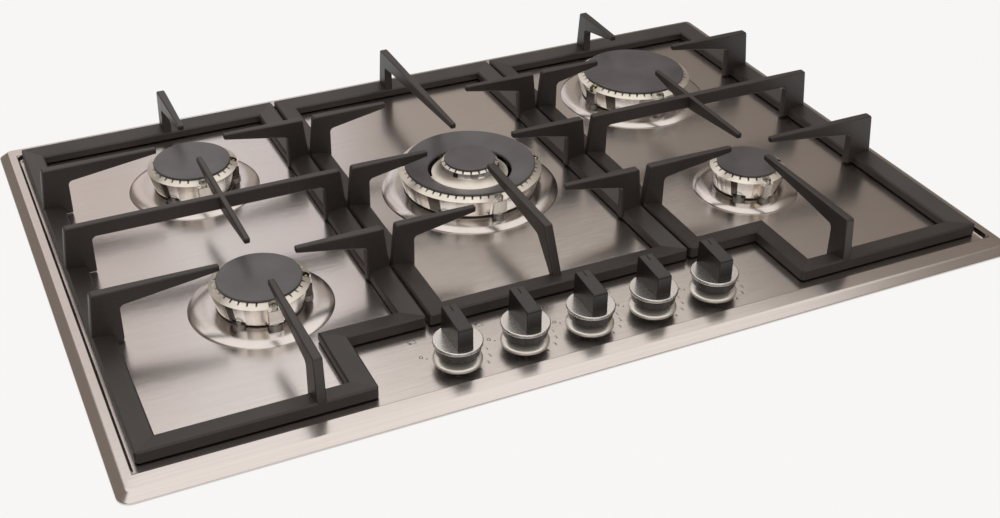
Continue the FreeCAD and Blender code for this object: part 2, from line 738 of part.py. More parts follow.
def pin_openings(burner, top_h):
    """Bores of the bosses and the open recesses above them."""
    spark, sensor = spark_place(burner), sensor_place(burner)
    foot = CROWN_FOOT_H - 1.0
    return [post(spark.x, spark.y, CERAMIC_R + HOLE_GAP, foot, BOSS_TOP_H + 1.0),
            post(sensor.x, sensor.y, SENSOR_NUT_R + HOLE_GAP, foot, BOSS_TOP_H + 1.0),
            post(spark.x, spark.y, RECESS_R, BOSS_TOP_H, top_h + 1.0),
            post(sensor.x, sensor.y, RECESS_R, BOSS_TOP_H, top_h + 1.0)]


def lip_r(burner):
    """Outer radius of a crown's centring lip."""
    return cup_neck_r(burner) - CUP_WALL - LOOSE


def burner_crown(burner):
    """Flame spreader of an ordinary burner."""
    r, lip = burner["r"], lip_r(burner)
    deck = CROWN_TOP_H - CROWN_DECK_DROP
    under = deck - CROWN_DECK_T
    floor = CROWN_FOOT_H + CROWN_DECK_T
    profile = [(r + CROWN_FOOT_OUT, CROWN_FOOT_H), (r + CROWN_BREAK_OUT, CROWN_BREAK_H), (r, CROWN_TOP_H),
               (r - CROWN_RIM_W, CROWN_TOP_H), (r - CROWN_RIM_W, deck), (VENTURI_R, deck),
               (VENTURI_R, VENTURI_FOOT_H), (VENTURI_R + VENTURI_WALL, VENTURI_FOOT_H),
               (VENTURI_R + VENTURI_WALL, under), (r + CROWN_BREAK_OUT - 2 * CROWN_WALL, under),
               (r + CROWN_FOOT_OUT - CROWN_WALL, floor), (lip - CROWN_LIP_T, floor),
               (lip - CROWN_LIP_T, CROWN_FOOT_H - CROWN_LIP_L), (lip, CROWN_FOOT_H - CROWN_LIP_L),
               (lip, CROWN_FOOT_H)]
    form = fused([turned(profile, burner["x"], burner["y"])] + pin_bosses(burner))
    ports = flame_ports(burner, r, CROWN_TOP_H, (SPARK_ANGLE, burner["sensor"]))
    return without(form, ports + pin_openings(burner, CROWN_TOP_H))


def wok_crown(burner):
    """Double crown: outer gas channel, inner crown and the arms that join them."""
    x, y, r, lip = burner["x"], burner["y"], burner["r"], lip_r(burner)
    ring_seat_h = RING_SEAT_H - RING_DROP
    under = CHANNEL_FLOOR_H - CROWN_DECK_T
    break_h = CROWN_BREAK_H - (CROWN_TOP_H - RING_SEAT_H)
    outer = [(r + CROWN_FOOT_OUT, CROWN_FOOT_H), (r + CROWN_BREAK_OUT, break_h), (r, RING_SEAT_H),
             (r - RING_SEAT_W, RING_SEAT_H), (r - RING_SEAT_W, CHANNEL_FLOOR_H),
             (RING_INNER_R + RING_WALL, CHANNEL_FLOOR_H), (RING_INNER_R + RING_WALL, ring_seat_h),
             (RING_INNER_R, ring_seat_h), (RING_INNER_R, under), (lip - CROWN_LIP_T, under),
             (lip - CROWN_LIP_T, CROWN_FOOT_H - CROWN_LIP_L), (lip, CROWN_FOOT_H - CROWN_LIP_L),
             (lip, CROWN_FOOT_H)]
    deck = INNER_SEAT_H - CROWN_DECK_DROP
    inner = [(INNER_SHOULDER_R, INNER_SHOULDER_H), (INNER_CAP_R, INNER_SEAT_H),
             (INNER_CAP_R - CROWN_RIM_W, INNER_SEAT_H), (INNER_CAP_R - CROWN_RIM_W, deck), (VENTURI_R, deck),
             (VENTURI_R, VENTURI_FOOT_H), (VENTURI_R + VENTURI_WALL, VENTURI_FOOT_H),
             (VENTURI_R + VENTURI_WALL, deck - CROWN_DECK_T),
             (INNER_SHOULDER_R - CROWN_WALL, deck - CROWN_DECK_T),
             (INNER_WAIST_R - CROWN_WALL, INNER_WAIST_H - CROWN_WALL),
             (INNER_SKIRT_R - CROWN_WALL, INNER_SKIRT_H - CROWN_WALL),
             (INNER_SKIRT_R - CROWN_WALL, INNER_FOOT_H), (INNER_SKIRT_R, INNER_FOOT_H),
             (INNER_SKIRT_R, INNER_SKIRT_H)]
    skirted = turned(inner, x, y, via=(INNER_WAIST_R, INNER_WAIST_H))
    solids = [turned(outer, x, y), skirted] + pin_bosses(burner)
    bores = []
    start, end = VENTURI_R + VENTURI_WALL / 2, RING_INNER_R + RING_WALL / 2
    middle_z = level(INNER_FOOT_H + ARM_H / 2)
    for i in range(ARM_COUNT):
        angle = ARM_FIRST_ANGLE + 360.0 * i / ARM_COUNT
        arm = Part.makeBox(end - start, ARM_W, ARM_H, Vector(start, -ARM_W / 2, level(INNER_FOOT_H)))
        solids.append(turned_to(arm, x, y, angle))
        bore = rod(Vector(0, 0, middle_z), Vector(end + RING_WALL, 0, middle_z), ARM_BORE_R)
        bores.append(turned_to(bore, x, y, angle))
    cutters = bores + pin_openings(burner, RING_SEAT_H)
    cutters += flame_ports(burner, r, RING_SEAT_H, (SPARK_ANGLE, burner["sensor"]))
    cutters += flame_ports(burner, INNER_CAP_R, INNER_SEAT_H, ())
    return without(fused(solids), cutters)


def flat_cap(x, y, radius, seat_h):
    """Enamelled cap with a locating rim."""
    rim = radius - CROWN_RIM_W - LOOSE
    top = seat_h + CAP_T
    profile = [(0, seat_h), (rim - CAP_RIM_T, seat_h), (rim - CAP_RIM_T, seat_h - CAP_RIM_L),
               (rim, seat_h - CAP_RIM_L), (rim, seat_h), (radius - CAP_EDGE, seat_h),
               (radius, seat_h + CAP_EDGE), (radius, top - CAP_EDGE),
               (radius - 0.3 * CAP_EDGE, top - 0.3 * CAP_EDGE), (radius - CAP_EDGE, top), (0, top)]
    return turned(profile, x, y)


def ring_cap(burner):
    """Ring cap of the wok burner: flat seat outside, a slope down to the inner edge."""
    r = burner["r"]
    top = RING_SEAT_H + CAP_T
    inner_h = RING_SEAT_H - RING_DROP
    seat_in = r - RING_SEAT_W - LOOSE
    profile = [(RING_INNER_R, inner_h), (RING_INNER_R + RING_WALL, inner_h),
               (seat_in, RING_SEAT_H - CAP_EDGE), (seat_in, RING_SEAT_H),
               (r - CAP_EDGE, RING_SEAT_H), (r, RING_SEAT_H + CAP_EDGE),
               (r, top - CAP_EDGE), (r - CAP_EDGE, top), (RING_INNER_R + CAP_EDGE, inner_h + CAP_T),
               (RING_INNER_R, inner_h + CAP_T - CAP_EDGE)]
    return turned(profile, burner["x"], burner["y"])


def electrode_insulator(burner):
    """Ceramic body with a collar on the lug."""
    p = spark_place(burner)
    body = fused([post(p.x, p.y, CERAMIC_R, CERAMIC_FOOT_H, CERAMIC_TOP_H),
                  post(p.x, p.y, CERAMIC_COLLAR_R, LUG_TOP_H, LUG_TOP_H + CERAMIC_COLLAR_T)])
    return body.cut(post(p.x, p.y, SPARK_PIN_R + FIT, CERAMIC_FOOT_H - 1.0, CERAMIC_TOP_H + 1.0))


def electrode_pin(burner):
    """Steel spark pin with a small head."""
    p = spark_place(burner)
    return fused([post(p.x, p.y, SPARK_PIN_R, SPARK_PIN_FOOT_H, SPARK_PIN_TOP_H),
                  post(p.x, p.y, SPARK_PIN_HEAD_R, SPARK_PIN_TOP_H - SPARK_PIN_HEAD_T, SPARK_PIN_TOP_H)])


def thermocouple(burner):
    """Flame sensor: thin rod in a thicker threaded sleeve."""
    p = sensor_place(burner)
    profile = [(0, SENSOR_FOOT_H), (SENSOR_R, SENSOR_FOOT_H), (SENSOR_R, SENSOR_NUT_FOOT_H),
               (SENSOR_NUT_R, SENSOR_NUT_FOOT_H), (SENSOR_NUT_R, SENSOR_NUT_TOP_H - SENSOR_R),
               (SENSOR_R, SENSOR_NUT_TOP_H), (SENSOR_R, SENSOR_TOP_H - SENSOR_R),
               (0.7 * SENSOR_R, SENSOR_TOP_H - 0.3 * SENSOR_R), (0, SENSOR_TOP_H)]
    return turned(profile, p.x, p.y)


def cup_screws(burner):
    """Two screws through the lugs into the plate."""
    up = Vector(0, 0, 1)
    return [pan_screw(Vector(p.x, p.y, level(LUG_TOP_H)), up, CUP_SCREW_R, CUP_SCREW_L, CUP_SCREW_HEAD_R,
                      CUP_SCREW_HEAD_T) for p in cup_screw_places(burner)]


# ---- pan supports -----------------------------------------------------------------------------------
def inset_outline(outline, inset):
    """Corners of an outline moved inwards. It runs anticlockwise and its corners are square."""
    moved = []
    for i, here in enumerate(outline):
        before, after = outline[i - 1], outline[(i + 1) % len(outline)]
        into = Vector(here[0] - before[0], here[1] - before[1], 0).normalize()
        out = Vector(after[0] - here[0], after[1] - here[1], 0).normalize()
        moved.append((here[0] - (into.y + out.y) * inset, here[1] + (into.x + out.x) * inset))
    return moved


def mitred_frame(outline):
    """Closed cast frame whose bars meet in mitres."""
    section = [(0.0, BAR_FOOT_H), (0.0, BAR_TOP_H - BAR_EDGE), (BAR_EDGE, BAR_TOP_H),
               (BAR_W - BAR_EDGE, BAR_TOP_H - BAR_SLOPE), (BAR_W, BAR_TOP_H - BAR_SLOPE - BAR_EDGE),
               (BAR_W, BAR_FOOT_H)]
    rings = [[Vector(px, py, level(h)) for px, py in inset_outline(outline, inset)] for inset, h in section]
    faces = []
    for i, ring in enumerate(rings):
        following = rings[(i + 1) % len(rings)]
        for j in range(len(ring)):
            k = (j + 1) % len(ring)
            faces.append(Part.Face(Part.makePolygon([ring[j], ring[k], following[k], following[j], ring[j]])))
    solid = Part.Solid(Part.makeShell(faces))
    if solid.Volume < 0:
        solid.reverse()
    return without(solid, corner_cutters(outline))


def corner_cutters(outline):
    """What rounds the outer corners of a frame."""
    cutters = []
    centres = inset_outline(outline, BAR_CORNER_R)
    for i, here in enumerate(outline):
        before, after = outline[i - 1], outline[(i + 1) % len(outline)]
        turn = (here[0] - before[0]) * (after[1] - here[1]) - (here[1] - before[1]) * (after[0] - here[0])
        if turn < 0:
            continue
        cx, cy = centres[i]
        square = block(min(here[0], cx), max(here[0], cx), min(here[1], cy), max(here[1], cy),
                       0.0, BAR_TOP_H + 1.0)
        cutters.append(square.cut(post(cx, cy, BAR_CORNER_R, -1.0, BAR_TOP_H + 2.0)))
    return cutters


def upright_plate(corners, thickness):
    """Flat piece in the XZ plane, centred on y = 0, from (x, height, radius) corners."""
    wire = rounded_wire(corners, lambda a, b: Vector(a, -thickness / 2, level(b)))
    return Part.Face(wire).extrude(Vector(0, thickness, 0))


def softened(solid, radius, above):
    """The solid with its edges rounded, apart from those that reach down to a level."""
    edges = [edge for edge in solid.Edges if edge.BoundBox.ZMin > level(above) + radius]
    return solid.makeFillet(radius, edges)


def finger(reach, leg_w):
    """Finger on a leg, in its own frame: the outer face of the bar at x = 0, pointing along +X."""
    foot = BAR_FOOT_H + LEG_SINK
    corners = [(0.0, BAR_TOP_H - BAR_EDGE, 0), (LEG_LEAN, FINGER_TOP_H, FINGER_CORNER_R),
               (reach, FINGER_TOP_H, 0), (reach, FINGER_TOP_H - FINGER_TIP_D, 0),
               (leg_w, FINGER_TOP_H - FINGER_ROOT_D, LEG_INSIDE_R), (leg_w, foot, 0), (BAR_EDGE, foot, 0)]
    side = upright_plate(corners, 2 * FINGER_ROOT_T)
    root, tip = FINGER_ROOT_T / 2, FINGER_TIP_T / 2
    plan = [Vector(-1.0, -root, 0), Vector(leg_w, -root, 0), Vector(reach + 1.0, -tip, 0),
            Vector(reach + 1.0, tip, 0), Vector(leg_w, root, 0), Vector(-1.0, root, 0)]
    prism = Part.Face(Part.makePolygon(plan + [plan[0]])).extrude(Vector(0, 0, level(FINGER_TOP_H) + 1.0))
    return softened(side.common(prism), FINGER_EDGE_R, BAR_TOP_H)


def crossbar(length, first_w, last_w):
    """Bar from side to side of a support, with a leg at each end, along +X from the outer face."""
    top, under, foot = FINGER_TOP_H, FINGER_TOP_H - CROSS_D, BAR_FOOT_H + LEG_SINK
    corners = [(0.0, BAR_TOP_H - BAR_EDGE, 0), (LEG_LEAN, top, FINGER_CORNER_R),
               (length - LEG_LEAN, top, FINGER_CORNER_R), (length, BAR_TOP_H - BAR_EDGE, 0),
               (length - BAR_EDGE, foot, 0), (length - last_w, foot, 0),
               (length - last_w, under, LEG_INSIDE_R),
               (first_w, under, LEG_INSIDE_R), (first_w, foot, 0), (BAR_EDGE, foot, 0)]
    return softened(upright_plate(corners, CROSS_T), FINGER_EDGE_R, BAR_TOP_H)


def crosspiece(near, far):
    """Piece that crosses the crossbar, along X from -near to far."""
    top = FINGER_TOP_H
    corners = [(-near, top, 0), (far, top, 0), (far, top - FINGER_TIP_D, 0), (CROSS_FLAT, top - CROSS_D, 0),
               (-CROSS_FLAT, top - CROSS_D, 0), (-near, top - FINGER_TIP_D, 0)]
    return softened(upright_plate(corners, FINGER_TIP_T), FINGER_EDGE_R, BAR_TOP_H)


def leaning_finger(tip):
    """Front finger of the middle support, along Y, on a leg that leans forward to the bar."""
    top, end = FINGER_TOP_H, FRONT_FINGER_Y
    foot = STEP_FRONT_Y + FRONT_LEG_FOOT_IN
    foot_h = BAR_TOP_H - BAR_SLOPE - BAR_EDGE
    corners = [(tip, top, 0), (tip, top - FINGER_TIP_D, 0),
               (end + FRONT_LEG_ROOT_IN, top - FINGER_ROOT_D, LEG_INSIDE_R),
               (foot + FRONT_LEG_W / 2, foot_h, 0), (foot - FRONT_LEG_W / 2, foot_h, 0),
               (end, top, FINGER_CORNER_R)]
    solid = softened(upright_plate(corners, FINGER_ROOT_T), FINGER_EDGE_R, BAR_TOP_H)
    return turned_to(solid, 0, 0, 90)


def side_outline(side):
    """Corners of a side support, left (-1) or right (1)."""
    inner, outer = SPLIT_X + SPLIT_GAP / 2, GRATE_SIDE_X
    right = [(inner, STEP_FRONT_Y), (NOTCH_X, STEP_FRONT_Y), (NOTCH_X, GRATE_FRONT_Y),
             (outer, GRATE_FRONT_Y), (outer, GRATE_BACK_Y), (inner, GRATE_BACK_Y)]
    return [(side * px, py) for px, py in right][::side]


def side_grate(side, rear, front):
    """Left (-1) or right (1) pan support over two burners."""
    inner, outer = SPLIT_X + SPLIT_GAP / 2, GRATE_SIDE_X
    x = side * COLUMN_X
    outwards, inwards = (180, 0) if side > 0 else (0, 180)
    pieces = [mitred_frame(side_outline(side))]
    for burner in (rear, front):
        long_finger = finger(outer - COLUMN_X - burner["tip"], LEG_SIDE_W)
        short_finger = finger(COLUMN_X - inner - burner["tip"], LEG_SPLIT_W)
        pieces.append(turned_to(long_finger, side * outer, burner["y"], outwards))
        pieces.append(turned_to(short_finger, side * inner, burner["y"], inwards))
    back_reach = GRATE_BACK_Y - rear["y"] - rear["tip"]
    front_reach = front["y"] - front["tip"] - STAR_SHIFT - GRATE_FRONT_Y
    pieces.append(turned_to(finger(back_reach, LEG_BACK_W), x, GRATE_BACK_Y, -90))
    pieces.append(turned_to(finger(front_reach, LEG_FRONT_W), x, GRATE_FRONT_Y, 90))
    legs = (LEG_SPLIT_W, LEG_SIDE_W)[::side]
    pieces.append(turned_to(crossbar(outer - inner, *legs), min(side * outer, side * inner), ROW_MID_Y, 0))
    cross = crosspiece(ROW_PITCH - front["tip"] + STAR_SHIFT, ROW_PITCH - rear["tip"])
    pieces.append(turned_to(cross, x, ROW_MID_Y, 90))
    return without(fused(pieces), foot_holes(side_feet(side)))


def centre_grate(burner):
    """Middle pan support over the wok burner."""
    half = SPLIT_X - SPLIT_GAP / 2
    outline = [(-half, STEP_FRONT_Y), (half, STEP_FRONT_Y), (half, GRATE_BACK_Y), (-half, GRATE_BACK_Y)]
    pieces = [mitred_frame(outline)]
    for y in (FRONT_Y, ROW_MID_Y, REAR_Y):
        pieces.append(turned_to(finger(half - burner["tip"], LEG_SPLIT_W), -half, y, 0))
        pieces.append(turned_to(finger(half - burner["tip"], LEG_SPLIT_W), half, y, 180))
    back_reach = GRATE_BACK_Y - ROW_MID_Y - TIP_GAP_CENTRE_BACK
    pieces.append(turned_to(finger(back_reach, LEG_BACK_W), 0, GRATE_BACK_Y, -90))
    pieces.append(leaning_finger(ROW_MID_Y - TIP_GAP_CENTRE_FRONT))
    return without(fused(pieces), foot_holes(centre_feet()))


def side_feet(side):
    """Places of the rubber feet under a side support, none in its inward corner."""
    outline = side_outline(side)
    inward = (side * NOTCH_X, STEP_FRONT_Y)
    return [place for place, corner in zip(inset_outline(outline, FOOT_INSET), outline) if corner != inward]


def centre_feet():
    """Places of the rubber feet under the middle support."""
    half = SPLIT_X - SPLIT_GAP / 2 - FOOT_INSET
    return [(x, y) for x in (-half, half) for y in (STEP_FRONT_Y + FOOT_INSET, GRATE_BACK_Y - FOOT_INSET)]


def foot_holes(places):
    """Blind holes for the stems of the feet."""
    return [post(x, y, FOOT_STEM_R, BAR_FOOT_H - 1.0, BAR_FOOT_H + FOOT_STEM_L) for x, y in places]


def rubber_foot(x, y):
    """Pad that stands on the plate, with a stem pressed into the bar."""
    return fused([post(x, y, FOOT_R, WELL_H, BAR_FOOT_H),
                  post(x, y, FOOT_STEM_R - FIT, WELL_H, BAR_FOOT_H + FOOT_STEM_L - FIT)])


# ---- knobs and taps ---------------------------------------------------------------------------------
def grip(gap):
    """Tall bar of a knob about x = y = 0, grown by a gap."""
    foot = DISC_FOOT_H - SKIRT_WALL / 2
    front, rear = -GRIP_FRONT - gap, GRIP_REAR + gap
    side = [(front, foot, 0), (front, GRIP_FRONT_H, GRIP_END_R), (rear, GRIP_REAR_H, GRIP_END_R),
            (rear, foot, 0)]
    wire = rounded_wire(side, lambda a, b: Vector(-GRIP_W, a, level(b)))
    bar = Part.Face(wire).extrude(Vector(2 * GRIP_W, 0, 0))
    half, top_half = GRIP_W / 2 + gap, GRIP_TOP_W / 2 + gap
    low, high, start = level(foot), level(GRIP_REAR_H + 1.0), front - 1.0
    section = [Vector(-half, start, low), Vector(half, start, low), Vector(top_half, start, high),
               Vector(-top_half, start, high)]
    wedge = Part.Face(Part.makePolygon(section + [section[0]])).extrude(Vector(0, rear - front + 2.0, 0))
    return bar.common(wedge)


def knob_body(index):
    """Moulded knob: skirt, hub with a flatted bore, and grip."""
    wall_foot = SKIRT_FOOT_R - SKIRT_WALL
    skirt = turned([(0, DISC_FOOT_H), (SKIRT_TOP_R, DISC_FOOT_H), (SKIRT_FOOT_R, SKIRT_FOOT_H),
                    (wall_foot, SKIRT_FOOT_H), (wall_foot, DISC_FOOT_H - SKIRT_WALL),
                    (0, DISC_FOOT_H - SKIRT_WALL)], 0, 0)
    bar = softened(grip(0.0), GRIP_EDGE_R, DISC_FOOT_H + DISC_T)
    hub = post(0, 0, HUB_R, SKIRT_FOOT_H, DISC_FOOT_H)
    bore = flatted_post(0, 0, SPINDLE_R, SKIRT_FOOT_H - 1.0, KNOB_BORE_TOP_H, FIT)
    return turned_to(fused([skirt, hub, bar]).cut(bore), knob_x(index), KNOB_Y, 0)


def knob_disc(index):
    """Metal disc on the skirt, slotted for the grip."""
    disc = post(0, 0, DISC_R, DISC_FOOT_H, DISC_FOOT_H + DISC_T)
    disc = disc.makeFillet(DISC_EDGE_R, [edge for edge in disc.Edges if edge.Length > DISC_R * 6])
    return turned_to(disc.cut(grip(FIT)), knob_x(index), KNOB_Y, 0)


def knob_bezel(index):
    """Ring on the plate round a spindle, with a low collar under the knob."""
    profile = [(BEZEL_HOLE_R, WELL_H), (BEZEL_R, WELL_H), (BEZEL_R, WELL_H + BEZEL_T - BEZEL_EDGE),
               (BEZEL_R - BEZEL_EDGE, WELL_H + BEZEL_T), (BEZEL_COLLAR_R, WELL_H + BEZEL_T),
               (BEZEL_COLLAR_R, BEZEL_COLLAR_H), (BEZEL_HOLE_R, BEZEL_COLLAR_H)]
    return turned(profile, knob_x(index), KNOB_Y)


def valve_spindle(index):
    """Spindle that turns the plug and pushes in, flatted at both ends."""
    x = knob_x(index)
    shaft = post(x, KNOB_Y, SPINDLE_R, SPINDLE_STEP_H, SKIRT_FOOT_H)
    knob_end = flatted_post(x, KNOB_Y, SPINDLE_R, SKIRT_FOOT_H, SPINDLE_TOP_H, 0.0)
    plug_end = flatted_post(x, KNOB_Y, SPINDLE_TIP_R, SPINDLE_FOOT_H, SPINDLE_STEP_H, 0.0)
    return fused([shaft, knob_end, plug_end])


def valve_plug(index):
    """Turning plug of a tap: socket for the spindle above, cross passage below, shut at rest."""
    x = knob_x(index)
    body = post(x, KNOB_Y, PLUG_R, PLUG_FOOT_H, PLUG_TOP_H)
    socket = flatted_post(x, KNOB_Y, SPINDLE_TIP_R, PLUG_SOCKET_H, PLUG_TOP_H + 1.0, FIT)
    axis, side = Vector(x, KNOB_Y, level(GAS_H)), Vector(PLUG_R + 1.0, 0, 0)
    return without(body, [socket, rod(axis - side, axis + side, PLUG_PASSAGE_R)])


def gas_valve(index):
    """Body of a tap: block, bonnet, spigot into the rail and outlet for the supply tube."""
    x = knob_x(index)
    axis = Vector(x, KNOB_Y, level(GAS_H))
    front = Vector(x, TAP_FRONT_Y - SPIGOT_L, level(GAS_H))
    back = Vector(x, TAP_BACK_Y + OUTLET_L, level(GAS_H))
    step = Vector(0, 1.0, 0)
    body = block(x - TAP_W / 2, x + TAP_W / 2, TAP_FRONT_Y, TAP_BACK_Y, TAP_FOOT_H, TAP_TOP_H)
    bonnet = post(x, KNOB_Y, BONNET_R, TAP_TOP_H, BONNET_TOP_H)
    form = fused([body, bonnet, rod(axis, front, SPIGOT_R), rod(axis, back, OUTLET_R)])
    way = rod(front - step, back, PLUG_PASSAGE_R)
    socket = rod(back - step * TUBE_SOCKET_L, back + step, TUBE_R + FIT)
    seat = post(x, KNOB_Y, PLUG_R + FIT, PLUG_FOOT_H, PLUG_TOP_H + LOOSE)
    bore = post(x, KNOB_Y, SPINDLE_R + FIT, PLUG_TOP_H, BONNET_TOP_H + 1.0)
    return without(form, [way, socket, seat, bore])


def gas_rail():
    """Tube that feeds the taps, closed at the left, bent back along the right wall to the pocket."""
    start = Vector(knob_x(0) - RAIL_END_OVER, RAIL_Y, level(GAS_H))
    corner = Vector(RAIL_X, RAIL_Y, level(GAS_H))
    end = Vector(RAIL_X, POCKET_WALL_Y + LOOSE + INLET_SOCKET_L, level(GAS_H))
    past_end = end + Vector(0, 1.0, 0)
    bore_start = start + Vector(RAIL_WALL, 0, 0)
    cutters = [pipe([bore_start, corner, past_end], RAIL_R - RAIL_WALL, RAIL_BEND_R)]
    for i in range(KNOB_COUNT):
        axis = Vector(knob_x(i), RAIL_Y, level(GAS_H))
        cutters.append(rod(axis, axis + Vector(0, 2 * RAIL_R, 0), SPIGOT_R + FIT))
    return without(pipe([start, corner, end], RAIL_R, RAIL_BEND_R), cutters)


def gas_inlet():
    """Connection piece in the corner pocket: six-sided nut and outside thread."""
    start = Vector(RAIL_X, POCKET_WALL_Y + LOOSE, level(GAS_H))
    along = Vector(0, 1, 0)
    angles = [math.radians(60 * i) for i in range(7)]
    corners = [start + Vector(INLET_NUT_R * math.cos(a), 0, INLET_NUT_R * math.sin(a)) for a in angles]
    nut = Part.Face(Part.makePolygon(corners)).extrude(along * INLET_NUT_L)
    nut_end = start + along * INLET_NUT_L
    thread_end = nut_end + along * INLET_THREAD_L
    seat = rod(start - along, start + along * INLET_SOCKET_L, RAIL_R + FIT)
    bore = rod(start - along, thread_end + along, RAIL_R - RAIL_WALL)
    return without(fused([nut, rod(nut_end, thread_end, INLET_THREAD_R)]), [seat, bore])


def supply_tube(index, burner):
    """Tube from a tap to a burner cup, along the lanes between the cups."""
    x, z = knob_x(index), level(GAS_H)
    start = Vector(x, TAP_BACK_Y + OUTLET_L - TUBE_SOCKET_L, z)
    end = Vector(burner["x"], burner["y"] - PORT_BOSS_L + TUBE_SOCKET_L, z)
    if burner["x"] == 0:
        return rod(start, end, TUBE_R).cut(rod(start, end, TUBE_R - TUBE_WALL))
    lane_x = math.copysign(TUBE_SIDE_LANE_X, burner["x"])
    points = [start, Vector(x, TUBE_OUTER_LANE_Y, z), Vector(burner["x"], TUBE_OUTER_LANE_Y, z), end]
    if burner["y"] > ROW_MID_Y:
        points = [start, Vector(x, TUBE_INNER_LANE_Y, z), Vector(lane_x, TUBE_INNER_LANE_Y, z),
                  Vector(lane_x, TUBE_REAR_LANE_Y, z), Vector(burner["x"], TUBE_REAR_LANE_Y, z), end]
    return pipe(points, TUBE_R, TUBE_BEND_R).cut(pipe(points, TUBE_R - TUBE_WALL, TUBE_BEND_R))


# ---- electrical pieces ------------------------------------------------------------------------------
def gland_place():
    """Where the cord enters, on the rear wall of the case."""
    return Vector(TERMINAL_X, TRAY_D / 2, level(-TRAY_DEPTH + TRAY_T + TERMINAL_TALL / 2))


def floor_box(width, depth, tall, x, y):
    """Box with rounded upright edges on the floor of the case."""
    foot = -TRAY_DEPTH + TRAY_T
    return turned_to(rounded_block(width / 2, depth / 2, BOX_CORNER_R, foot, foot + tall), x, y, 0)


def ignition_box():
    """Spark generator with one outlet for each burner."""
    solids = [floor_box(IGNITION_W, IGNITION_D, IGNITION_TALL, 0, IGNITION_Y)]
    count = len(BURNERS)
    for i in range(count):
        x = (i - (count - 1) / 2) * IGNITION_W / (count + 1)
        start = Vector(x, IGNITION_Y - IGNITION_D / 2 + 1.0, level(-TRAY_DEPTH + TRAY_T + IGNITION_TALL / 2))
        solids.append(rod(start, start - Vector(0, IGNITION_SPIGOT_L, 0), IGNITION_SPIGOT_R))
    return fused(solids)


def terminal_block():
    """Mains terminal box against the rear wall, with the cord gland through the wall."""
    y = TRAY_D / 2 - TRAY_T - TERMINAL_D / 2
    box = floor_box(TERMINAL_W, TERMINAL_D, TERMINAL_TALL, TERMINAL_X, y)
    wall = gland_place()
    gland = rod(wall - Vector(0, 2 * TRAY_T, 0), wall + Vector(0, GLAND_L, 0), GLAND_R)
    bore = rod(wall - Vector(0, TERMINAL_D / 2, 0), wall + Vector(0, GLAND_L + 1.0, 0), GLAND_BORE_R)
    return fused([box, gland]).cut(bore)


# ---- every node -------------------------------------------------------------------------------------
def save_case():
    """Plate, lower case, seal and their fixings."""
    save("top_plate", top_plate())
    save("bottom_tray", bottom_tray())
    save("worktop_seal", worktop_seal())
    save("plate_brackets", *[plate_bracket(*place) for place in case_screw_places()])
    save("case_screws", *case_screws())
    save("worktop_clamps", *[worktop_clamp(*place) for place in clamp_screw_places()])


def save_grates():
    """The three pan supports and their feet."""
    save("grate_left", side_grate(-1, BURNERS["left_rear"], BURNERS["left_front"]))
    save("grate_right", side_grate(1, BURNERS["right_rear"], BURNERS["right_front"]))
    save("grate_centre", centre_grate(BURNERS["centre"]))
    save("grate_left_feet", *[rubber_foot(*place) for place in side_feet(-1)])
    save("grate_right_feet", *[rubber_foot(*place) for place in side_feet(1)])
    save("grate_centre_feet", *[rubber_foot(*place) for place in centre_feet()])


def save_burners():
    """Cups, crowns, caps, injectors, electrodes and sensors."""
    for name, burner in BURNERS.items():
        save("burner_cup_" + name, burner_cup(burner))
        if name != "centre":
            save("burner_crown_" + name, burner_crown(burner))
            save("burner_cap_" + name, flat_cap(burner["x"], burner["y"], burner["r"], CROWN_TOP_H))
    centre = BURNERS["centre"]
    save("burner_crown_centre", wok_crown(centre))
    save("wok_ring_cap", ring_cap(centre))
    save("wok_inner_cap", flat_cap(centre["x"], centre["y"], INNER_CAP_R, INNER_SEAT_H))
    burners = list(BURNERS.values())
    save("gas_injectors", *[injector(burner) for burner in burners])
    save("electrode_insulators", *[electrode_insulator(burner) for burner in burners])
    save("electrode_pins", *[electrode_pin(burner) for burner in burners])
    save("thermocouples", *[thermocouple(burner) for burner in burners])
    save("burner_screws", *[screw for burner in burners for screw in cup_screws(burner)])


def save_controls():
    """Knobs, taps and gas ways. The knobs serve, from the left, the burners in this order."""
    order = ["left_front", "left_rear", "centre", "right_rear", "right_front"]
    for i in range(KNOB_COUNT):
        save("knob_body_%d" % (i + 1), knob_body(i))
        save("knob_disc_%d" % (i + 1), knob_disc(i))
        save("valve_spindle_%d" % (i + 1), valve_spindle(i))
        save("valve_plug_%d" % (i + 1), valve_plug(i))
    save("knob_bezels", *[knob_bezel(i) for i in range(KNOB_COUNT)])
    save("gas_valves", *[gas_valve(i) for i in range(KNOB_COUNT)])
    save("gas_rail", gas_rail())
    save("gas_inlet", gas_inlet())
    save("supply_tubes", *[supply_tube(i, BURNERS[name]) for i, name in enumerate(order)])


os.makedirs("parts", exist_ok=True)
save_case()
save_grates()
save_burners()
save_controls()
save("ignition_box", ignition_box())
save("terminal_block", terminal_block())
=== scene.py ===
# %% [markdown]
# # A gas cooktop of brushed steel, with cast pan supports
#
# The frame already holds every piece at its real size: a pressed plate, a lower case, five burners,
# three pan supports and five knobs. This notebook gives each piece its finish. It also makes again,
# as smooth surfaces, the two pieces whose shine shows every flat facet: the plate and the knob bezels.
# Crown skirts, printed marks and pointers are added. Lengths are in metres, and +Y points to the back.

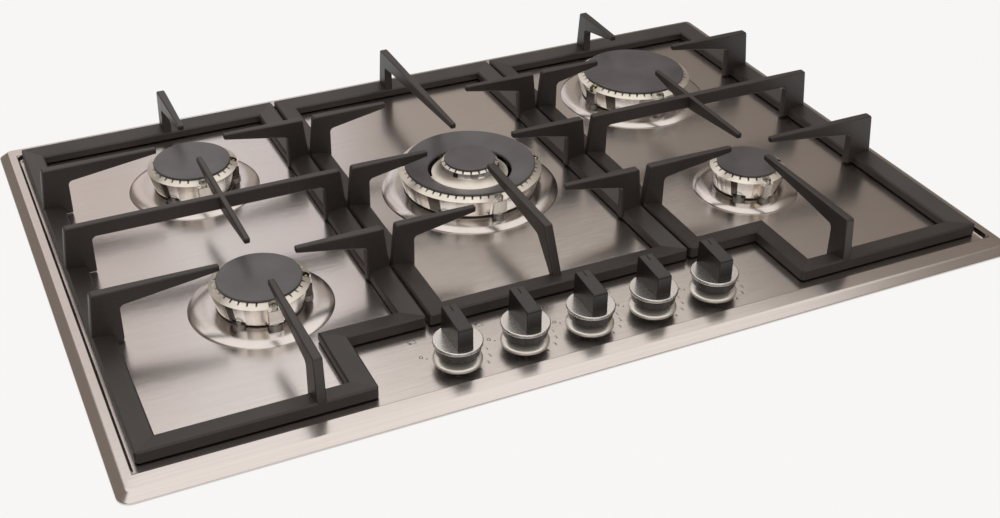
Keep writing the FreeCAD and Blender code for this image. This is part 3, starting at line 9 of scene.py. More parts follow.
# %% Load the frame
import math
import bmesh
import bpy
import numpy as np
from mathutils.geometry import tessellate_polygon
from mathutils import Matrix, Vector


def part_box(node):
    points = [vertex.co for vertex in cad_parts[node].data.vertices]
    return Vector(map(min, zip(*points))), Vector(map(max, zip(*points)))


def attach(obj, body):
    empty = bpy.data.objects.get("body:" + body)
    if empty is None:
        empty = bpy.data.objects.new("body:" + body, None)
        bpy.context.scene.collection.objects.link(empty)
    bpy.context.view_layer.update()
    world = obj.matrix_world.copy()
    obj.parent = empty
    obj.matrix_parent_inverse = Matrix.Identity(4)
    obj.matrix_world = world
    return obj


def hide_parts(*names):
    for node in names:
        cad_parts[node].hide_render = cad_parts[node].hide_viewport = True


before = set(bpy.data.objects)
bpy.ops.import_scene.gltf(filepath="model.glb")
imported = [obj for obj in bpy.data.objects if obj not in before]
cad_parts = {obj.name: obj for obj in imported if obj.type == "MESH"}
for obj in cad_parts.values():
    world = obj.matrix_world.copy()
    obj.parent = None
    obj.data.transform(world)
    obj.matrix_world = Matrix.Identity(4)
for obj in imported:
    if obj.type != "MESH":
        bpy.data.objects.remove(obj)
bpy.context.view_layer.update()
MM = 0.001

# %% [markdown]
# ## Measuring the frame
#
# A piece that is made again has to sit where the old one did, so its place and size come from the
# frame's boxes. Heights on this cooktop are counted from the worktop, which is the plate's lowest edge.

# %% Boxes in millimetres
def box_mm(node):
    """Lowest and highest corner of a node, in millimetres."""
    low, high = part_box(node)
    return np.array(low) / MM, np.array(high) / MM


def disc_mm(node):
    """Middle and radius of a round node, seen from above, in millimetres."""
    low, high = box_mm(node)
    return {"x": (low[0] + high[0]) / 2, "y": (low[1] + high[1]) / 2, "r": (high[0] - low[0]) / 2}


plate_low, plate_high = box_mm("top_plate")
WORKTOP = plate_low[2]
PLATE_HALF = (plate_high - plate_low)[:2] / 2
RIM_H = plate_high[2] - WORKTOP
RIM_END = np.array([14.1, 20.8])       # outer edge to well, at the sides and at the front
BURNERS = {place: disc_mm("burner_cap_" + place)
           for place in ("left_rear", "left_front", "right_rear", "right_front")}
BURNERS["centre"] = disc_mm("wok_ring_cap")
KNOBS = [sum(box_mm("knob_disc_%d" % i)) / 2 for i in range(1, 6)]
for place, burner in BURNERS.items():
    print(place, {key: round(value, 1) for key, value in burner.items()})

# %% [markdown]
# ## The camera
#
# The photograph was taken from the front left, a little above arm's height, with a short telephoto lens.
# The frame was cropped afterwards, so the lens's axis isn't in the middle, and a small shift follows that.

# %% Camera
CAMERA_PLACE = (-0.4409, -0.9490, 0.6734)
CAMERA_AZIMUTH = 23.97
CAMERA_ELEVATION = 32.37
LENS = 50.2
CAMERA_SHIFT = (0.0401, -0.0231)

camera_data = bpy.data.cameras.new("camera")
camera_data.lens = LENS
camera_data.sensor_width = 36.0
camera_data.sensor_fit = "HORIZONTAL"
camera_data.shift_x, camera_data.shift_y = CAMERA_SHIFT
camera_data.clip_start = 0.02
camera = bpy.data.objects.new("camera", camera_data)
camera.location = CAMERA_PLACE
camera.rotation_euler = (math.radians(90 - CAMERA_ELEVATION), 0, -math.radians(CAMERA_AZIMUTH))
bpy.context.scene.collection.objects.link(camera)
bpy.context.scene.camera = camera
bpy.context.scene.view_settings.view_transform = "Standard"
print("camera at", CAMERA_PLACE)

# %% [markdown]
# ## Writing shaders as sums
#
# Brushed steel, enamel and cast iron differ in a few numbers that change over the surface. A node
# graph for that is easier to read as arithmetic, so a small class wraps a socket, and each + or * on
# it adds a Math node. Every other node comes from one method.

# %% Shader arithmetic
class Number:
    """A value on a surface. Arithmetic on it adds Math nodes to its finish."""

    def __init__(self, finish, socket):
        self.finish = finish
        self.socket = socket

    def math(self, operation, *others):
        """A Math node of this value and others."""
        return self.finish.node("ShaderNodeMath", {"operation": operation}, dict(enumerate((self, *others))))

    def __add__(self, other):
        return self.math("ADD", other)

    def __sub__(self, other):
        return self.math("SUBTRACT", other)

    def __rsub__(self, other):
        return self.finish.node("ShaderNodeMath", {"operation": "SUBTRACT"}, {0: other, 1: self})

    def __mul__(self, other):
        return self.math("MULTIPLY", other)

    def __truediv__(self, other):
        return self.math("DIVIDE", other)

    __radd__ = __add__
    __rmul__ = __mul__


class Finish:
    """A material with a Principled shader, and what its nodes are made with."""

    def __init__(self, name, color, roughness, metallic=0.0):
        self.material = bpy.data.materials.new(name)
        self.material.use_nodes = True
        self.tree = self.material.node_tree
        self.shader = self.tree.nodes["Principled BSDF"]
        self.material.diffuse_color = (*color, 1)
        self.set({"Base Color": (*color, 1), "Roughness": roughness, "Metallic": metallic})

    def put(self, socket, value):
        """Link a value to a socket, or set it there when it is a constant."""
        if isinstance(value, Number):
            self.tree.links.new(value.socket, socket)
        else:
            socket.default_value = value

    def set(self, inputs):
        """Fill the shader's own sockets."""
        for name, value in inputs.items():
            self.put(self.shader.inputs[name], value)

    def node(self, kind, settings, inputs, output=0):
        """Any node: its settings first, then its sockets. Returns one output."""
        node = self.tree.nodes.new(kind)
        for name, value in settings.items():
            if name == "stops":
                self.fill_ramp(node.color_ramp, value)
            else:
                setattr(node, name, value)
        for key, value in inputs.items():
            self.put(node.inputs[key], value)
        return Number(self, node.outputs[output])

    def fill_ramp(self, ramp, stops):
        """Put (position, grey) stops into a colour ramp."""
        while len(ramp.elements) < len(stops):
            ramp.elements.new(1.0)
        for element, (position, grey) in zip(ramp.elements, stops):
            element.position = position
            element.color = (grey, grey, grey, 1)

    def place(self):
        """Object coordinates, in metres."""
        return self.node("ShaderNodeTexCoord", {}, {}, "Object")

    def axes(self):
        """Object coordinates as three numbers."""
        split = self.tree.nodes.new("ShaderNodeSeparateXYZ")
        self.put(split.inputs[0], self.place())
        return [Number(self, output) for output in split.outputs]

    def stretched(self, scale):
        """Object coordinates times a scale for each axis."""
        return self.node("ShaderNodeMapping", {"vector_type": "POINT"},
                         {"Vector": self.place(), "Scale": scale})

    def noise(self, vector, scale, detail=2.0, roughness=0.5):
        """Soft noise, about 0.3 to 0.7, along a vector."""
        return self.node("ShaderNodeTexNoise", {}, {"Vector": vector, "Scale": scale, "Detail": detail,
                                                    "Roughness": roughness})

    def ramp(self, value, stops):
        """A value bent through (position, grey) stops."""
        return self.node("ShaderNodeValToRGB", {"stops": stops}, {0: value})

    def blend(self, factor, first, second):
        """A colour between two colours."""
        return self.node("ShaderNodeMix", {"data_type": "RGBA"}, {0: factor, 6: first, 7: second}, 2)

    def bump(self, height, distance, strength=1.0):
        """A normal from heights, where 1 stands a distance high, in metres."""
        return self.node("ShaderNodeBump", {}, {"Height": height, "Distance": distance, "Strength": strength})


print("shader helpers:", Number.__name__, Finish.__name__)

# %% [markdown]
# ## Brushed stainless steel
#
# The sheet is ground along its length before it is pressed, so its scratches run along X. Each scratch
# is a tiny groove, and its walls tilt the light to the front and to the back but never sideways. A
# reflection on it is smeared from front to back and stays crisp from left to right. Grooves that are
# finer than a pixel can't be bump, so a noise that changes only across the grain tilts the normal.

# %% Steel finishes
def leaned(finish, tilts):
    """Normal plus a sideways push on each axis, brought back to length one."""
    geometry = finish.tree.nodes.new("ShaderNodeNewGeometry")
    push = finish.node("ShaderNodeCombineXYZ", {}, dict(enumerate(tilts)))
    leaning = finish.node("ShaderNodeVectorMath", {"operation": "ADD"},
                          {0: Number(finish, geometry.outputs["Normal"]), 1: push})
    return finish.node("ShaderNodeVectorMath", {"operation": "NORMALIZE"}, {0: leaning})


def brushed_steel(name, color, warm, roughness, tilt, grain, crease=None):
    """Ground sheet steel: grooves along one axis, seen streaks and slow clouds of a warmer tone.

    A crease, if given, is a dark line of painted shade round a rectangle, along the well's edge: its half
    length, half depth and half width.
    """
    finish = Finish(name, color, roughness, 1.0)
    grooves = finish.noise(finish.stretched(tuple(g * 6 for g in grain)), 1.0, 1.0)
    streaks = finish.noise(finish.stretched(grain), 1.0, 3.0, 0.6)
    clouds = finish.noise(finish.place(), 3.2, 2.0)
    tone = finish.ramp(clouds * 0.6 + streaks * 0.4, [(0.34, 0.0), (0.66, 1.0)])
    colour = finish.blend(tone, (*color, 1), (*warm, 1))
    # Painted shade: a dark line round the well's upper edge, darkest on the line and fading over its half
    # width.
    if crease:
        half_x, half_y, width = crease
        east, north, _ = finish.axes()
        beyond = (east.math("ABSOLUTE") - half_x).math("MAXIMUM", north.math("ABSOLUTE") - half_y)
        line = finish.ramp(beyond.math("ABSOLUTE") / width, [(0.5, 0.75), (1.0, 0.0)])
        colour = finish.blend(line, colour, (*CREASE_SHADE_TONE, 1))
    finish.set({
        "Base Color": colour,
        "Roughness": roughness - 0.03 + streaks * 0.06,
        "Normal": leaned(finish, [0.0, (grooves - 0.5) * tilt, 0.0]),
    })
    return finish.material


# Painted shade along the well's upper edge: its dark tone, how far in it lies, and its half width.
CREASE_SHADE_TONE = (0.10, 0.085, 0.075)
CREASE_SHADE_IN = 0.2                        # from the well's upper edge inwards, in millimetres
CREASE_SHADE_HALF_W = 0.9
crease_shade_half = (PLATE_HALF - RIM_END - CREASE_SHADE_IN) * MM
plate_steel = brushed_steel("plate_steel", (0.70, 0.665, 0.655), (0.655, 0.61, 0.58), 0.22, 0.09,
                            (9.0, 620.0, 620.0), (*crease_shade_half.tolist(), CREASE_SHADE_HALF_W * MM))
case_steel = brushed_steel("case_steel", (0.50, 0.51, 0.52), (0.44, 0.45, 0.46), 0.40, 0.2,
                           (6.0, 6.0, 60.0))
print("steel finishes:", plate_steel.name, case_steel.name)

# %% [markdown]
# ## Enamelled cast iron
#
# The pan supports are sand cast and dipped in matte enamel. Up close the surface has a grain of about a
# millimetre, and the enamel is a little thinner and smoother on the edges. The grain is bump from two
# noises, and the tone moves between near black and dark brown grey.

# %% Iron and enamel finishes
def cast_enamel(name, dark, light, roughness):
    """Matte enamel on sand-cast iron: fine grain in the height, slow change of tone."""
    finish = Finish(name, dark, roughness)
    grain = finish.noise(finish.place(), 850.0, 3.0, 0.6)
    lumps = finish.noise(finish.place(), 120.0, 2.0)
    clouds = finish.noise(finish.place(), 14.0, 2.0)
    tone = finish.ramp(clouds * 0.6 + grain * 0.4, [(0.35, 0.0), (0.65, 1.0)])
    finish.set({
        "Base Color": finish.blend(tone, (*dark, 1), (*light, 1)),
        "Roughness": roughness - 0.08 + grain * 0.16,
        "Normal": finish.bump(grain * 0.7 + lumps * 0.3, 0.00022, 0.45),
        "Specular IOR Level": 0.55,
    })
    return finish.material


def cap_enamel(name, color):
    """Smoother enamel of a burner cap: a faint orange-peel skin, and soft pale clouds that are a painted
    reflection smudge.
    """
    finish = Finish(name, color, 0.34)
    skin = finish.noise(finish.place(), 420.0, 2.0)
    # Painted reflection: soft clouds a few centimetres across blend the cap towards a paler colour, as a
    # reflection smudge.
    clouds = finish.noise(finish.place(), 30.0, 2.0)
    tone = finish.ramp(clouds, [(0.35, 0.0), (0.7, 1.0)])
    reflection_smudge = tuple(channel * 1.35 + 0.004 for channel in color)
    finish.set({
        "Base Color": finish.blend(tone, (*color, 1), (*reflection_smudge, 1)),
        "Roughness": 0.30 + skin * 0.1,
        "Normal": finish.bump(skin, 0.00005, 0.4),
        "Specular IOR Level": 0.65,
    })
    return finish.material


grate_iron = cast_enamel("grate_iron", (0.026, 0.022, 0.021), (0.047, 0.040, 0.038), 0.40)
burner_enamel = cap_enamel("burner_enamel", (0.082, 0.078, 0.086))
print("enamel finishes:", grate_iron.name, burner_enamel.name)

# %% [markdown]
# ## Polished aluminium
#
# The side of a crown is polished and mirrors the kitchen in upright patches. A Voronoi texture with one
# dimension, read along the angle round the axis, gives patches of random width and lean, and gives each
# patch a painted reflection as its colour: near black, bright white or warm. The bevel above is left
# matte, and the side is told from it by how far the surface faces up.

# %% Crown metal
FACETS_PER_RADIAN = 4.6


def turned_aluminium(place, x, y):
    """Crown finish: a matte bevel above, and a polished side where each upright facet has a lean of its own
    and a painted reflection as its colour.
    """
    finish = Finish("crown_metal_" + place, (0.88, 0.86, 0.82), 0.2, 1.0)
    east, north, _ = finish.axes()
    east, north = east - x * MM, north - y * MM
    angle = finish.node("ShaderNodeMath", {"operation": "ARCTAN2"}, {0: north, 1: east})
    geometry = finish.tree.nodes.new("ShaderNodeNewGeometry")
    split = finish.tree.nodes.new("ShaderNodeSeparateXYZ")
    finish.tree.links.new(geometry.outputs["Normal"], split.inputs[0])
    upright = finish.ramp(Number(finish, split.outputs[2]).math("ABSOLUTE"), [(0.38, 1.0), (0.46, 0.0)])
    cell = finish.node("ShaderNodeTexVoronoi", {"voronoi_dimensions": "1D"},
                       {"W": angle * FACETS_PER_RADIAN, "Scale": 1.0}, 1)
    facet = finish.tree.nodes.new("ShaderNodeSeparateColor")
    finish.put(facet.inputs[0], cell)
    light, warm_reflection_pick, side = (Number(finish, output) for output in facet.outputs[:3])
    lean = (side - 0.5) * upright * 0.7
    stain = finish.noise(finish.place(), 90.0, 2.0)
    # Painted reflections: each facet's colour comes from the cell's random colour. It is near black for a
    # dark reflection, and bright white or warm otherwise.
    warm = finish.ramp(warm_reflection_pick, [(0.65, 0.0), (0.85, 1.0)])
    reflection_tint = finish.blend(warm, (0.98, 0.97, 0.95, 1), (0.86, 0.76, 0.62, 1))
    dark = finish.ramp(light, [(0.14, 1.0), (0.22, 0.0)])
    facet_reflections = finish.blend(dark, reflection_tint, (0.13, 0.11, 0.10, 1))
    bevel = finish.blend(stain, (0.88, 0.85, 0.79, 1), (0.74, 0.69, 0.61, 1))
    finish.set({
        "Base Color": finish.blend(upright, bevel, facet_reflections),
        "Roughness": 0.42 - upright * 0.24 + stain * 0.06,
        "Normal": leaned(finish, [angle.math("SINE") * lean * -1.0, angle.math("COSINE") * lean, 0.0]),
    })
    return finish.material


crown_metals = {place: turned_aluminium(place, b["x"], b["y"]) for place, b in BURNERS.items()}
print("crown finishes:", len(crown_metals))

# %% [markdown]
# ## Brass, ceramic, rubber, plastic and plain metals
#
# The cups below the crowns are left as cast, and the small pieces each get the fine texture that their
# making leaves. One function makes them all: a tone that varies a little, and a fine grain in the height.

# %% Small finishes
def grained(name, color, roughness, metallic=0.0, scale=600.0, depth=0.00006, change=0.25):
    """A surface of one tone that varies a little, with a fine grain in the height."""
    finish = Finish(name, color, roughness, metallic)
    grain = finish.noise(finish.place(), scale, 3.0)
    clouds = finish.noise(finish.place(), scale / 12, 2.0)
    darker = tuple(channel * (1 - change) for channel in color)
    finish.set({
        "Base Color": finish.blend(clouds * 0.6 + grain * 0.4, (*color, 1), (*darker, 1)),
        "Roughness": roughness - 0.05 + grain * 0.1,
        "Normal": finish.bump(grain, depth, 0.5),
    })
    return finish.material


cast_metal = grained("cast_metal", (0.46, 0.45, 0.44), 0.48, 1.0, 700.0)
brass = grained("brass", (0.72, 0.55, 0.26), 0.30, 1.0, 500.0)
ceramic = grained("ceramic", (0.82, 0.79, 0.71), 0.22, 0.0, 300.0, 0.00002, 0.12)
bright_steel = grained("bright_steel", (0.66, 0.65, 0.63), 0.24, 1.0, 500.0, 0.00003)
tube_metal = grained("tube_metal", (0.62, 0.62, 0.62), 0.34, 1.0, 400.0, 0.00003)
black_rubber = grained("black_rubber", (0.022, 0.022, 0.022), 0.75, 0.0, 900.0, 0.0001)
dark_plastic = grained("dark_plastic", (0.035, 0.035, 0.038), 0.5, 0.0, 1100.0, 0.00008)
knob_black = grained("knob_black", (0.020, 0.018, 0.018), 0.24, 0.0, 1400.0, 0.00002)
knob_silver = grained("knob_silver", (0.80, 0.785, 0.77), 0.27, 1.0, 900.0, 0.000006, 0.05)
bezel_steel = grained("bezel_steel", (0.92, 0.90, 0.85), 0.34, 0.75, 1200.0, 0.00002, 0.08)
sensor_metal = grained("sensor_metal", (0.80, 0.66, 0.38), 0.24, 1.0, 500.0, 0.00003)
dial_ink = grained("dial_ink", (0.020, 0.018, 0.016), 0.7, 0.0, 900.0, 0.00001)
# Painted shade: the near-black film that stands in for the shade of the pointer groove.
groove_shade_film = grained("groove_shade_film", (0.004, 0.004, 0.005), 0.8, 0.0, 900.0, 0.00002)
print("small finishes made")

# %% [markdown]
# ## Which node wears which finish
#
# The pieces that keep their shape only need their material changed. The table goes from the start of a
# node's name to its finish. Each crown has a finish of its own, because its patches go round its axis.

# %% Dress the frame's nodes
NODE_FINISHES = {
    "top_plate": plate_steel, "bottom_tray": case_steel, "plate_brackets": case_steel,
    "worktop_clamps": case_steel, "worktop_seal": black_rubber, "grate_left_feet": black_rubber,
    "grate_right_feet": black_rubber, "grate_centre_feet": black_rubber, "grate": grate_iron,
    "burner_cup": cast_metal, "burner_cap": burner_enamel, "wok": burner_enamel,
    "gas_injectors": brass, "gas_inlet": brass, "valve": brass, "gas_valves": cast_metal,
    "gas_rail": tube_metal, "supply_tubes": tube_metal, "electrode_insulators": ceramic,
    "electrode_pins": bright_steel, "thermocouples": sensor_metal, "case_screws": bright_steel,
    "burner_screws": bright_steel, "knob_body": knob_black, "knob_disc": knob_silver,
    "knob_bezels": bezel_steel, "ignition_box": dark_plastic, "terminal_block": dark_plastic,
}


def dress(node):
    """Give a node the finish whose key is the longest start of its name."""
    key = max((key for key in NODE_FINISHES if node.startswith(key)), key=len)
    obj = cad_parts[node]
    obj.data.materials.clear()
    obj.data.materials.append(NODE_FINISHES[key])


NODE_FINISHES.update({"burner_crown_" + place: metal for place, metal in crown_metals.items()})
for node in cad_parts:
    dress(node)
print("dressed", len(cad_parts), "nodes")

# %% [markdown]
# ## Surfaces from profiles
#
# Bezels and domes are bodies of revolution: a profile of radius and height, carried round an axis. Real
# edges are never sharp, so a profile is drawn as corners with a radius each. On each side of
# an arc stands one more point, so that the flat beside it keeps its own shading.

# %% Profiles and grids
SHARP_ANGLE = math.radians(35)         # edges that turn by more are drawn sharp


def rounded(corners, steps=5, hold=0.25):
    """Open path through (a, b, radius) corners. A radius makes a corner an arc that touches both sides."""
    corners = [np.array(corner, float) for corner in corners]
    path = [corners[0][:2]]
    for before, here, after in zip(corners[:-2], corners[1:-1], corners[2:]):
        point, radius = here[:2], here[2]
        if radius == 0:
            path.append(point)
            continue
        back = (before[:2] - point) / np.linalg.norm(before[:2] - point)
        on = (after[:2] - point) / np.linalg.norm(after[:2] - point)
        half = math.acos(np.clip(back @ on, -1, 1)) / 2
        reach = radius / math.tan(half)
        middle = (back + on) / np.linalg.norm(back + on)
        centre = point + middle * radius / math.sin(half)
        first, last = point + back * reach - centre, point + on * reach - centre
        turn = np.linspace(0, 1, steps + 1)[:, None]
        arc = math.pi - 2 * half
        path.append(point + back * (reach + hold * min(1, radius)))
        path.extend(centre + (np.sin((1 - turn) * arc) * first + np.sin(turn * arc) * last) / math.sin(arc))
        path.append(point + on * (reach + hold * min(1, radius)))
    path.append(corners[-1][:2])
    return np.array(path)


def grid_faces(rows, columns):
    """Quads of a grid that is closed round its columns, wound so that a path from the top down faces out."""
    row = np.arange(rows - 1)[:, None]
    column = np.arange(columns)[None, :]
    following = (column + 1) % columns
    quads = np.stack([row * columns + column, (row + 1) * columns + column,
                      (row + 1) * columns + following, row * columns + following], axis=-1)
    return quads.reshape(-1, 4)


def make_piece(name, points, faces, finish, body, slot, replaced=()):
    """Mesh from points in millimetres. It closes seams, turns faces outwards and rides on its body."""
    mesh = bpy.data.meshes.new(name)
    mesh.from_pydata((np.asarray(points) * MM).tolist(), [], [list(face) for face in faces])
    shape = bmesh.new()
    shape.from_mesh(mesh)
    bmesh.ops.remove_doubles(shape, verts=shape.verts, dist=1e-7)
    bmesh.ops.recalc_face_normals(shape, faces=shape.faces)
    shape.to_mesh(mesh)
    shape.free()
    mesh.shade_smooth()
    mesh.set_sharp_from_angle(angle=SHARP_ANGLE)
    mesh.materials.append(finish)
    piece = bpy.data.objects.new(name, mesh)
    bpy.context.scene.collection.objects.link(piece)
    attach(piece, body)
    if replaced:
        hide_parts(*replaced)
    print(name, len(mesh.polygons), "faces")
    return piece


def turned(path, x, y, columns=96):
    """Surface of revolution: each (radius, height) of the path at each angle."""
    angle = np.arange(columns) * 2 * math.pi / columns
    radius, height = path[:, :1], path[:, 1:]
    points = np.stack([x + radius * np.cos(angle), y + radius * np.sin(angle),
                       WORKTOP + height + 0 * angle], axis=-1)
    return points.reshape(-1, 3), grid_faces(len(path), columns)


print("profiles: corners become arcs, edges over", round(math.degrees(SHARP_ANGLE)), "degrees stay sharp")

# %% [markdown]
# ## The pressed plate
#
# One sheet makes the sloped edge, the rim, the shallow well and the round domes under the burners. The
# rings of a rounded rectangle, each set in a little further, make edge, rim and well. The rim leans a
# little outwards, as a pressed rim does.

# %% Edge, rim and well
EDGE = [(0, 0, 0), (0, 1.3, 0.9), (6.9, 6.35, 4.0), (9.5, 6.45, 0)]
WELL_DEPTH = 4.0
WELL = [(-1.0, 0, 0), (0, 0, 0.5), (1.4, -WELL_DEPTH, 0.9), (4.0, -WELL_DEPTH, 0)]
PLATE_CORNER_R = 10.0
CORNER_TIGHTENS = 0.8                  # by how much a corner's radius shrinks for each millimetre inwards
CORNER_TIGHTENS_TO = 7.6               # past this inset the radius stays
WELL_CORNER_R = 6.0


def corner_ring(half, radius, steps=12):
    """Rounded rectangle: four corner centres plus a radius turned through each corner's quarter."""
    angle = np.linspace(0, math.pi / 2, steps)[None, :] + np.arange(4)[:, None] * math.pi / 2
    signs = np.array([[1, 1], [-1, 1], [-1, -1], [1, -1]])
    centres = signs * (half - radius)
    x = centres[:, :1] + radius * np.cos(angle)
    y = centres[:, 1:] + radius * np.sin(angle)
    return np.stack([x.ravel(), y.ravel()], axis=-1)


def plate_rings():
    """Rings of edge and rim, then of the well, from the outside in."""
    rings = []
    for inset, height in rounded(EDGE):
        radius = PLATE_CORNER_R - CORNER_TIGHTENS * min(inset, CORNER_TIGHTENS_TO)
        ring = corner_ring(PLATE_HALF - inset, radius)
        rings.append(np.column_stack([ring, np.full(len(ring), height)]))
    for inset, height in rounded(WELL, steps=4):
        ring = corner_ring(PLATE_HALF - RIM_END - inset, WELL_CORNER_R - inset)
        rings.append(np.column_stack([ring, np.full(len(ring), RIM_H + height)]))
    return rings


print("plate half size:", PLATE_HALF.round(1), "rim height:", round(RIM_H, 2))

# %% [markdown]
# ## Domes, holes and the sheet's wall
#
# The well's floor is one flat polygon with round holes, and each dome is a soft shoulder turned round its
# burner. A quarter ellipse gives the shoulder a crease at its foot and lets it run level at the top,
# where the crown's lugs stand. Solidify then makes the skin a sheet with a thin wall.

# %% Plate
DOME_RISE = 4.0
DOME_FULLNESS = 1.25                   # above 1 the shoulder is a little flatter than an ellipse
DOMES = {"left_rear": 57.0, "left_front": 57.0, "centre": 78.0, "right_rear": 71.0, "right_front": 46.0}
DOME_EDGE = 1.5                        # level floor that each dome brings along
LUG_REACH = 7.6                        # past the cap's radius the dome must stay level
CUP_HOLE_IN = 5.5                      # cap's radius to the plate's hole
SPINDLE_HOLE_R = 6.4
SHEET = 1.0


def circle(x, y, radius, height, columns=96):
    """Level circle of points."""
    angle = np.arange(columns) * 2 * math.pi / columns
    return np.column_stack([x + radius * np.cos(angle), y + radius * np.sin(angle), np.full(columns, height)])


def dome_path(outer, level, inner):
    """Soft shoulder: height is a quarter ellipse from a crease at the outer circle to the level middle."""
    step = 1 - np.cos(np.linspace(0, math.pi / 2, 19))
    rise = RIM_H - WELL_DEPTH + DOME_RISE * np.sqrt(1 - (1 - step) ** 2) ** DOME_FULLNESS
    path = np.column_stack([outer - (outer - level) * step, rise])
    flat = np.array([[level - 1.0, rise[-1]], [inner + 1.0, rise[-1]], [inner, rise[-1]]])
    return np.vstack([[outer + DOME_EDGE, rise[0]], [outer + 0.5, rise[0]], path, flat])


def plate_surface():
    """Points and faces of the whole upper skin."""
    rings = plate_rings()
    points, faces = [np.vstack(rings)], [grid_faces(len(rings), len(rings[0]))]
    count = len(points[0])
    loops = [rings[-1]]
    for place, burner in BURNERS.items():
        path = dome_path(DOMES[place], burner["r"] + LUG_REACH, burner["r"] - CUP_HOLE_IN)
        grid, quads = turned(path, burner["x"], burner["y"], 128)
        grid[:, 2] -= WORKTOP
        points.append(grid)
        faces.append(quads[:, ::-1] + count)
        count += len(grid)
        loops.append(circle(burner["x"], burner["y"], DOMES[place] + DOME_EDGE, RIM_H - WELL_DEPTH, 128))
    for knob in KNOBS:
        loops.append(circle(knob[0], knob[1], SPINDLE_HOLE_R, RIM_H - WELL_DEPTH, 32))
    floor = np.array(tessellate_polygon([[tuple(point) for point in loop] for loop in loops])) + count
    points.append(np.vstack(loops))
    return np.vstack(points), [*faces[0], *np.vstack(faces[1:]), *floor]


def thicken(piece, thickness):
    """Give a skin a wall below it, and keep the result as the mesh."""
    wall = piece.modifiers.new("wall", "SOLIDIFY")
    wall.thickness = thickness * MM
    wall.offset = -1.0
    solid = bpy.data.meshes.new_from_object(piece.evaluated_get(bpy.context.evaluated_depsgraph_get()))
    piece.modifiers.clear()
    piece.data = solid
    solid.set_sharp_from_angle(angle=SHARP_ANGLE)


points, faces = plate_surface()
points[:, 2] += WORKTOP
plate = make_piece("plate_skin", points, faces, plate_steel, "base", "satin_steel", ["top_plate"])
thicken(plate, SHEET)

# %% [markdown]
# ## Crown skirts
#
# The polished side of a crown ends in a thin edge just above the dome, so that no draught reaches the
# gas below. The edge is broken where the lugs of the cup pass under it. Each arc between two lugs is
# one profile carried round part of a circle, with its ends closed.

# %% Skirts
# Past the cap's radius, and height above the worktop.
SKIRT_PATH = np.array([[2.22, 11.5], [1.5, 8.7], [1.2, 8.3], [0.2, 8.3], [-0.9, 8.6], [-0.9, 11.5]])
LUG_ANGLES = {place: [-90.0, -12.0, 45.0, 225.0] for place in BURNERS}
LUG_ANGLES["right_rear"] = [-90.0, 192.0, 45.0, 225.0]
LUG_HALF = 5.6                         # half the width that a lug needs
LUG_OUT = 1.0                          # past the cap's radius, where that width is measured
LEAST_ARC = 4.0                        # degrees; a shorter arc is left out


def arc_piece(path, x, y, start, end, step=2.5):
    """Closed solid: a closed (radius, height) path carried from one angle to another, in degrees."""
    count = max(2, int((end - start) / step) + 1)
    angle = np.radians(np.linspace(start, end, count))[:, None]
    radius, height = path[:, 0][None, :], path[:, 1][None, :]
    points = np.stack([x + radius * np.cos(angle), y + radius * np.sin(angle),
                       WORKTOP + height + 0 * angle], axis=-1)
    sides = len(path)
    row = np.arange(count - 1)[:, None] * sides
    column = np.arange(sides)[None, :]
    following = (column + 1) % sides
    quads = np.stack([row + column, row + following, row + sides + following, row + sides + column], -1)
    ends = [list(range(sides)), list(range((count - 1) * sides, count * sides))[::-1]]
    return points.reshape(-1, 3), quads.reshape(-1, 4).tolist() + ends


def joined(parts):
    """Several (points, faces) as one."""
    starts = np.cumsum([0] + [len(points) for points, _ in parts])
    faces = [[corner + start for corner in face] for (_, some), start in zip(parts, starts) for face in some]
    return np.vstack([points for points, _ in parts]), faces


for place, burner in BURNERS.items():
    lugs = sorted(angle % 360 for angle in LUG_ANGLES[place])
    clear = math.degrees(math.asin(LUG_HALF / (burner["r"] + LUG_OUT)))
    path = SKIRT_PATH + [burner["r"], 0]
    arcs = []
    for here, following in zip(lugs, lugs[1:] + [lugs[0] + 360]):
        if following - here > 2 * clear + LEAST_ARC:
            arcs.append(arc_piece(path, burner["x"], burner["y"], here + clear, following - clear))
    make_piece("crown_skirt_" + place, *joined(arcs), crown_metals[place],
               "crown_" + place, "crown_aluminium")

# %% [markdown]
# ## Knob bezels
#
# Under each knob lies a pressed steel ring that covers the hole in the plate. It rises from its rim in
# a low cone to a short collar round the spindle. From above, the cone is most of what is seen of it, so
# it gets a smooth profile here.

# %% Bezels
BEZEL_R = 18.6
WELL_H = RIM_H - WELL_DEPTH
BEZEL_PATH = rounded([(7.8, WELL_H + 0.1, 0), (7.8, 6.6, 0.3), (11.6, 6.6, 0.8), (17.4, 4.6, 1.2),
                      (BEZEL_R, WELL_H + 0.9, 0.4), (BEZEL_R, WELL_H, 0.1), (7.8, WELL_H, 0.0),
                      (7.8, WELL_H + 0.1, 0)], steps=4, hold=0.2)
rings = [turned(BEZEL_PATH, knob[0], knob[1], 72) for knob in KNOBS]
make_piece("bezel_rings", *joined(rings), bezel_steel, "base", "satin_steel", ["knob_bezels"])

# %% [markdown]
# ## Marks printed on the plate
#
# Heat numbers from 7 to 1 stand in an arc in front of each knob, and a spark sign stands at its left.
# Behind it, a small square with a dot shows which burner it feeds. They are printed, so each is a film
# two hundredths of a millimetre thick. Text is made a mesh first, and then its points are moved.

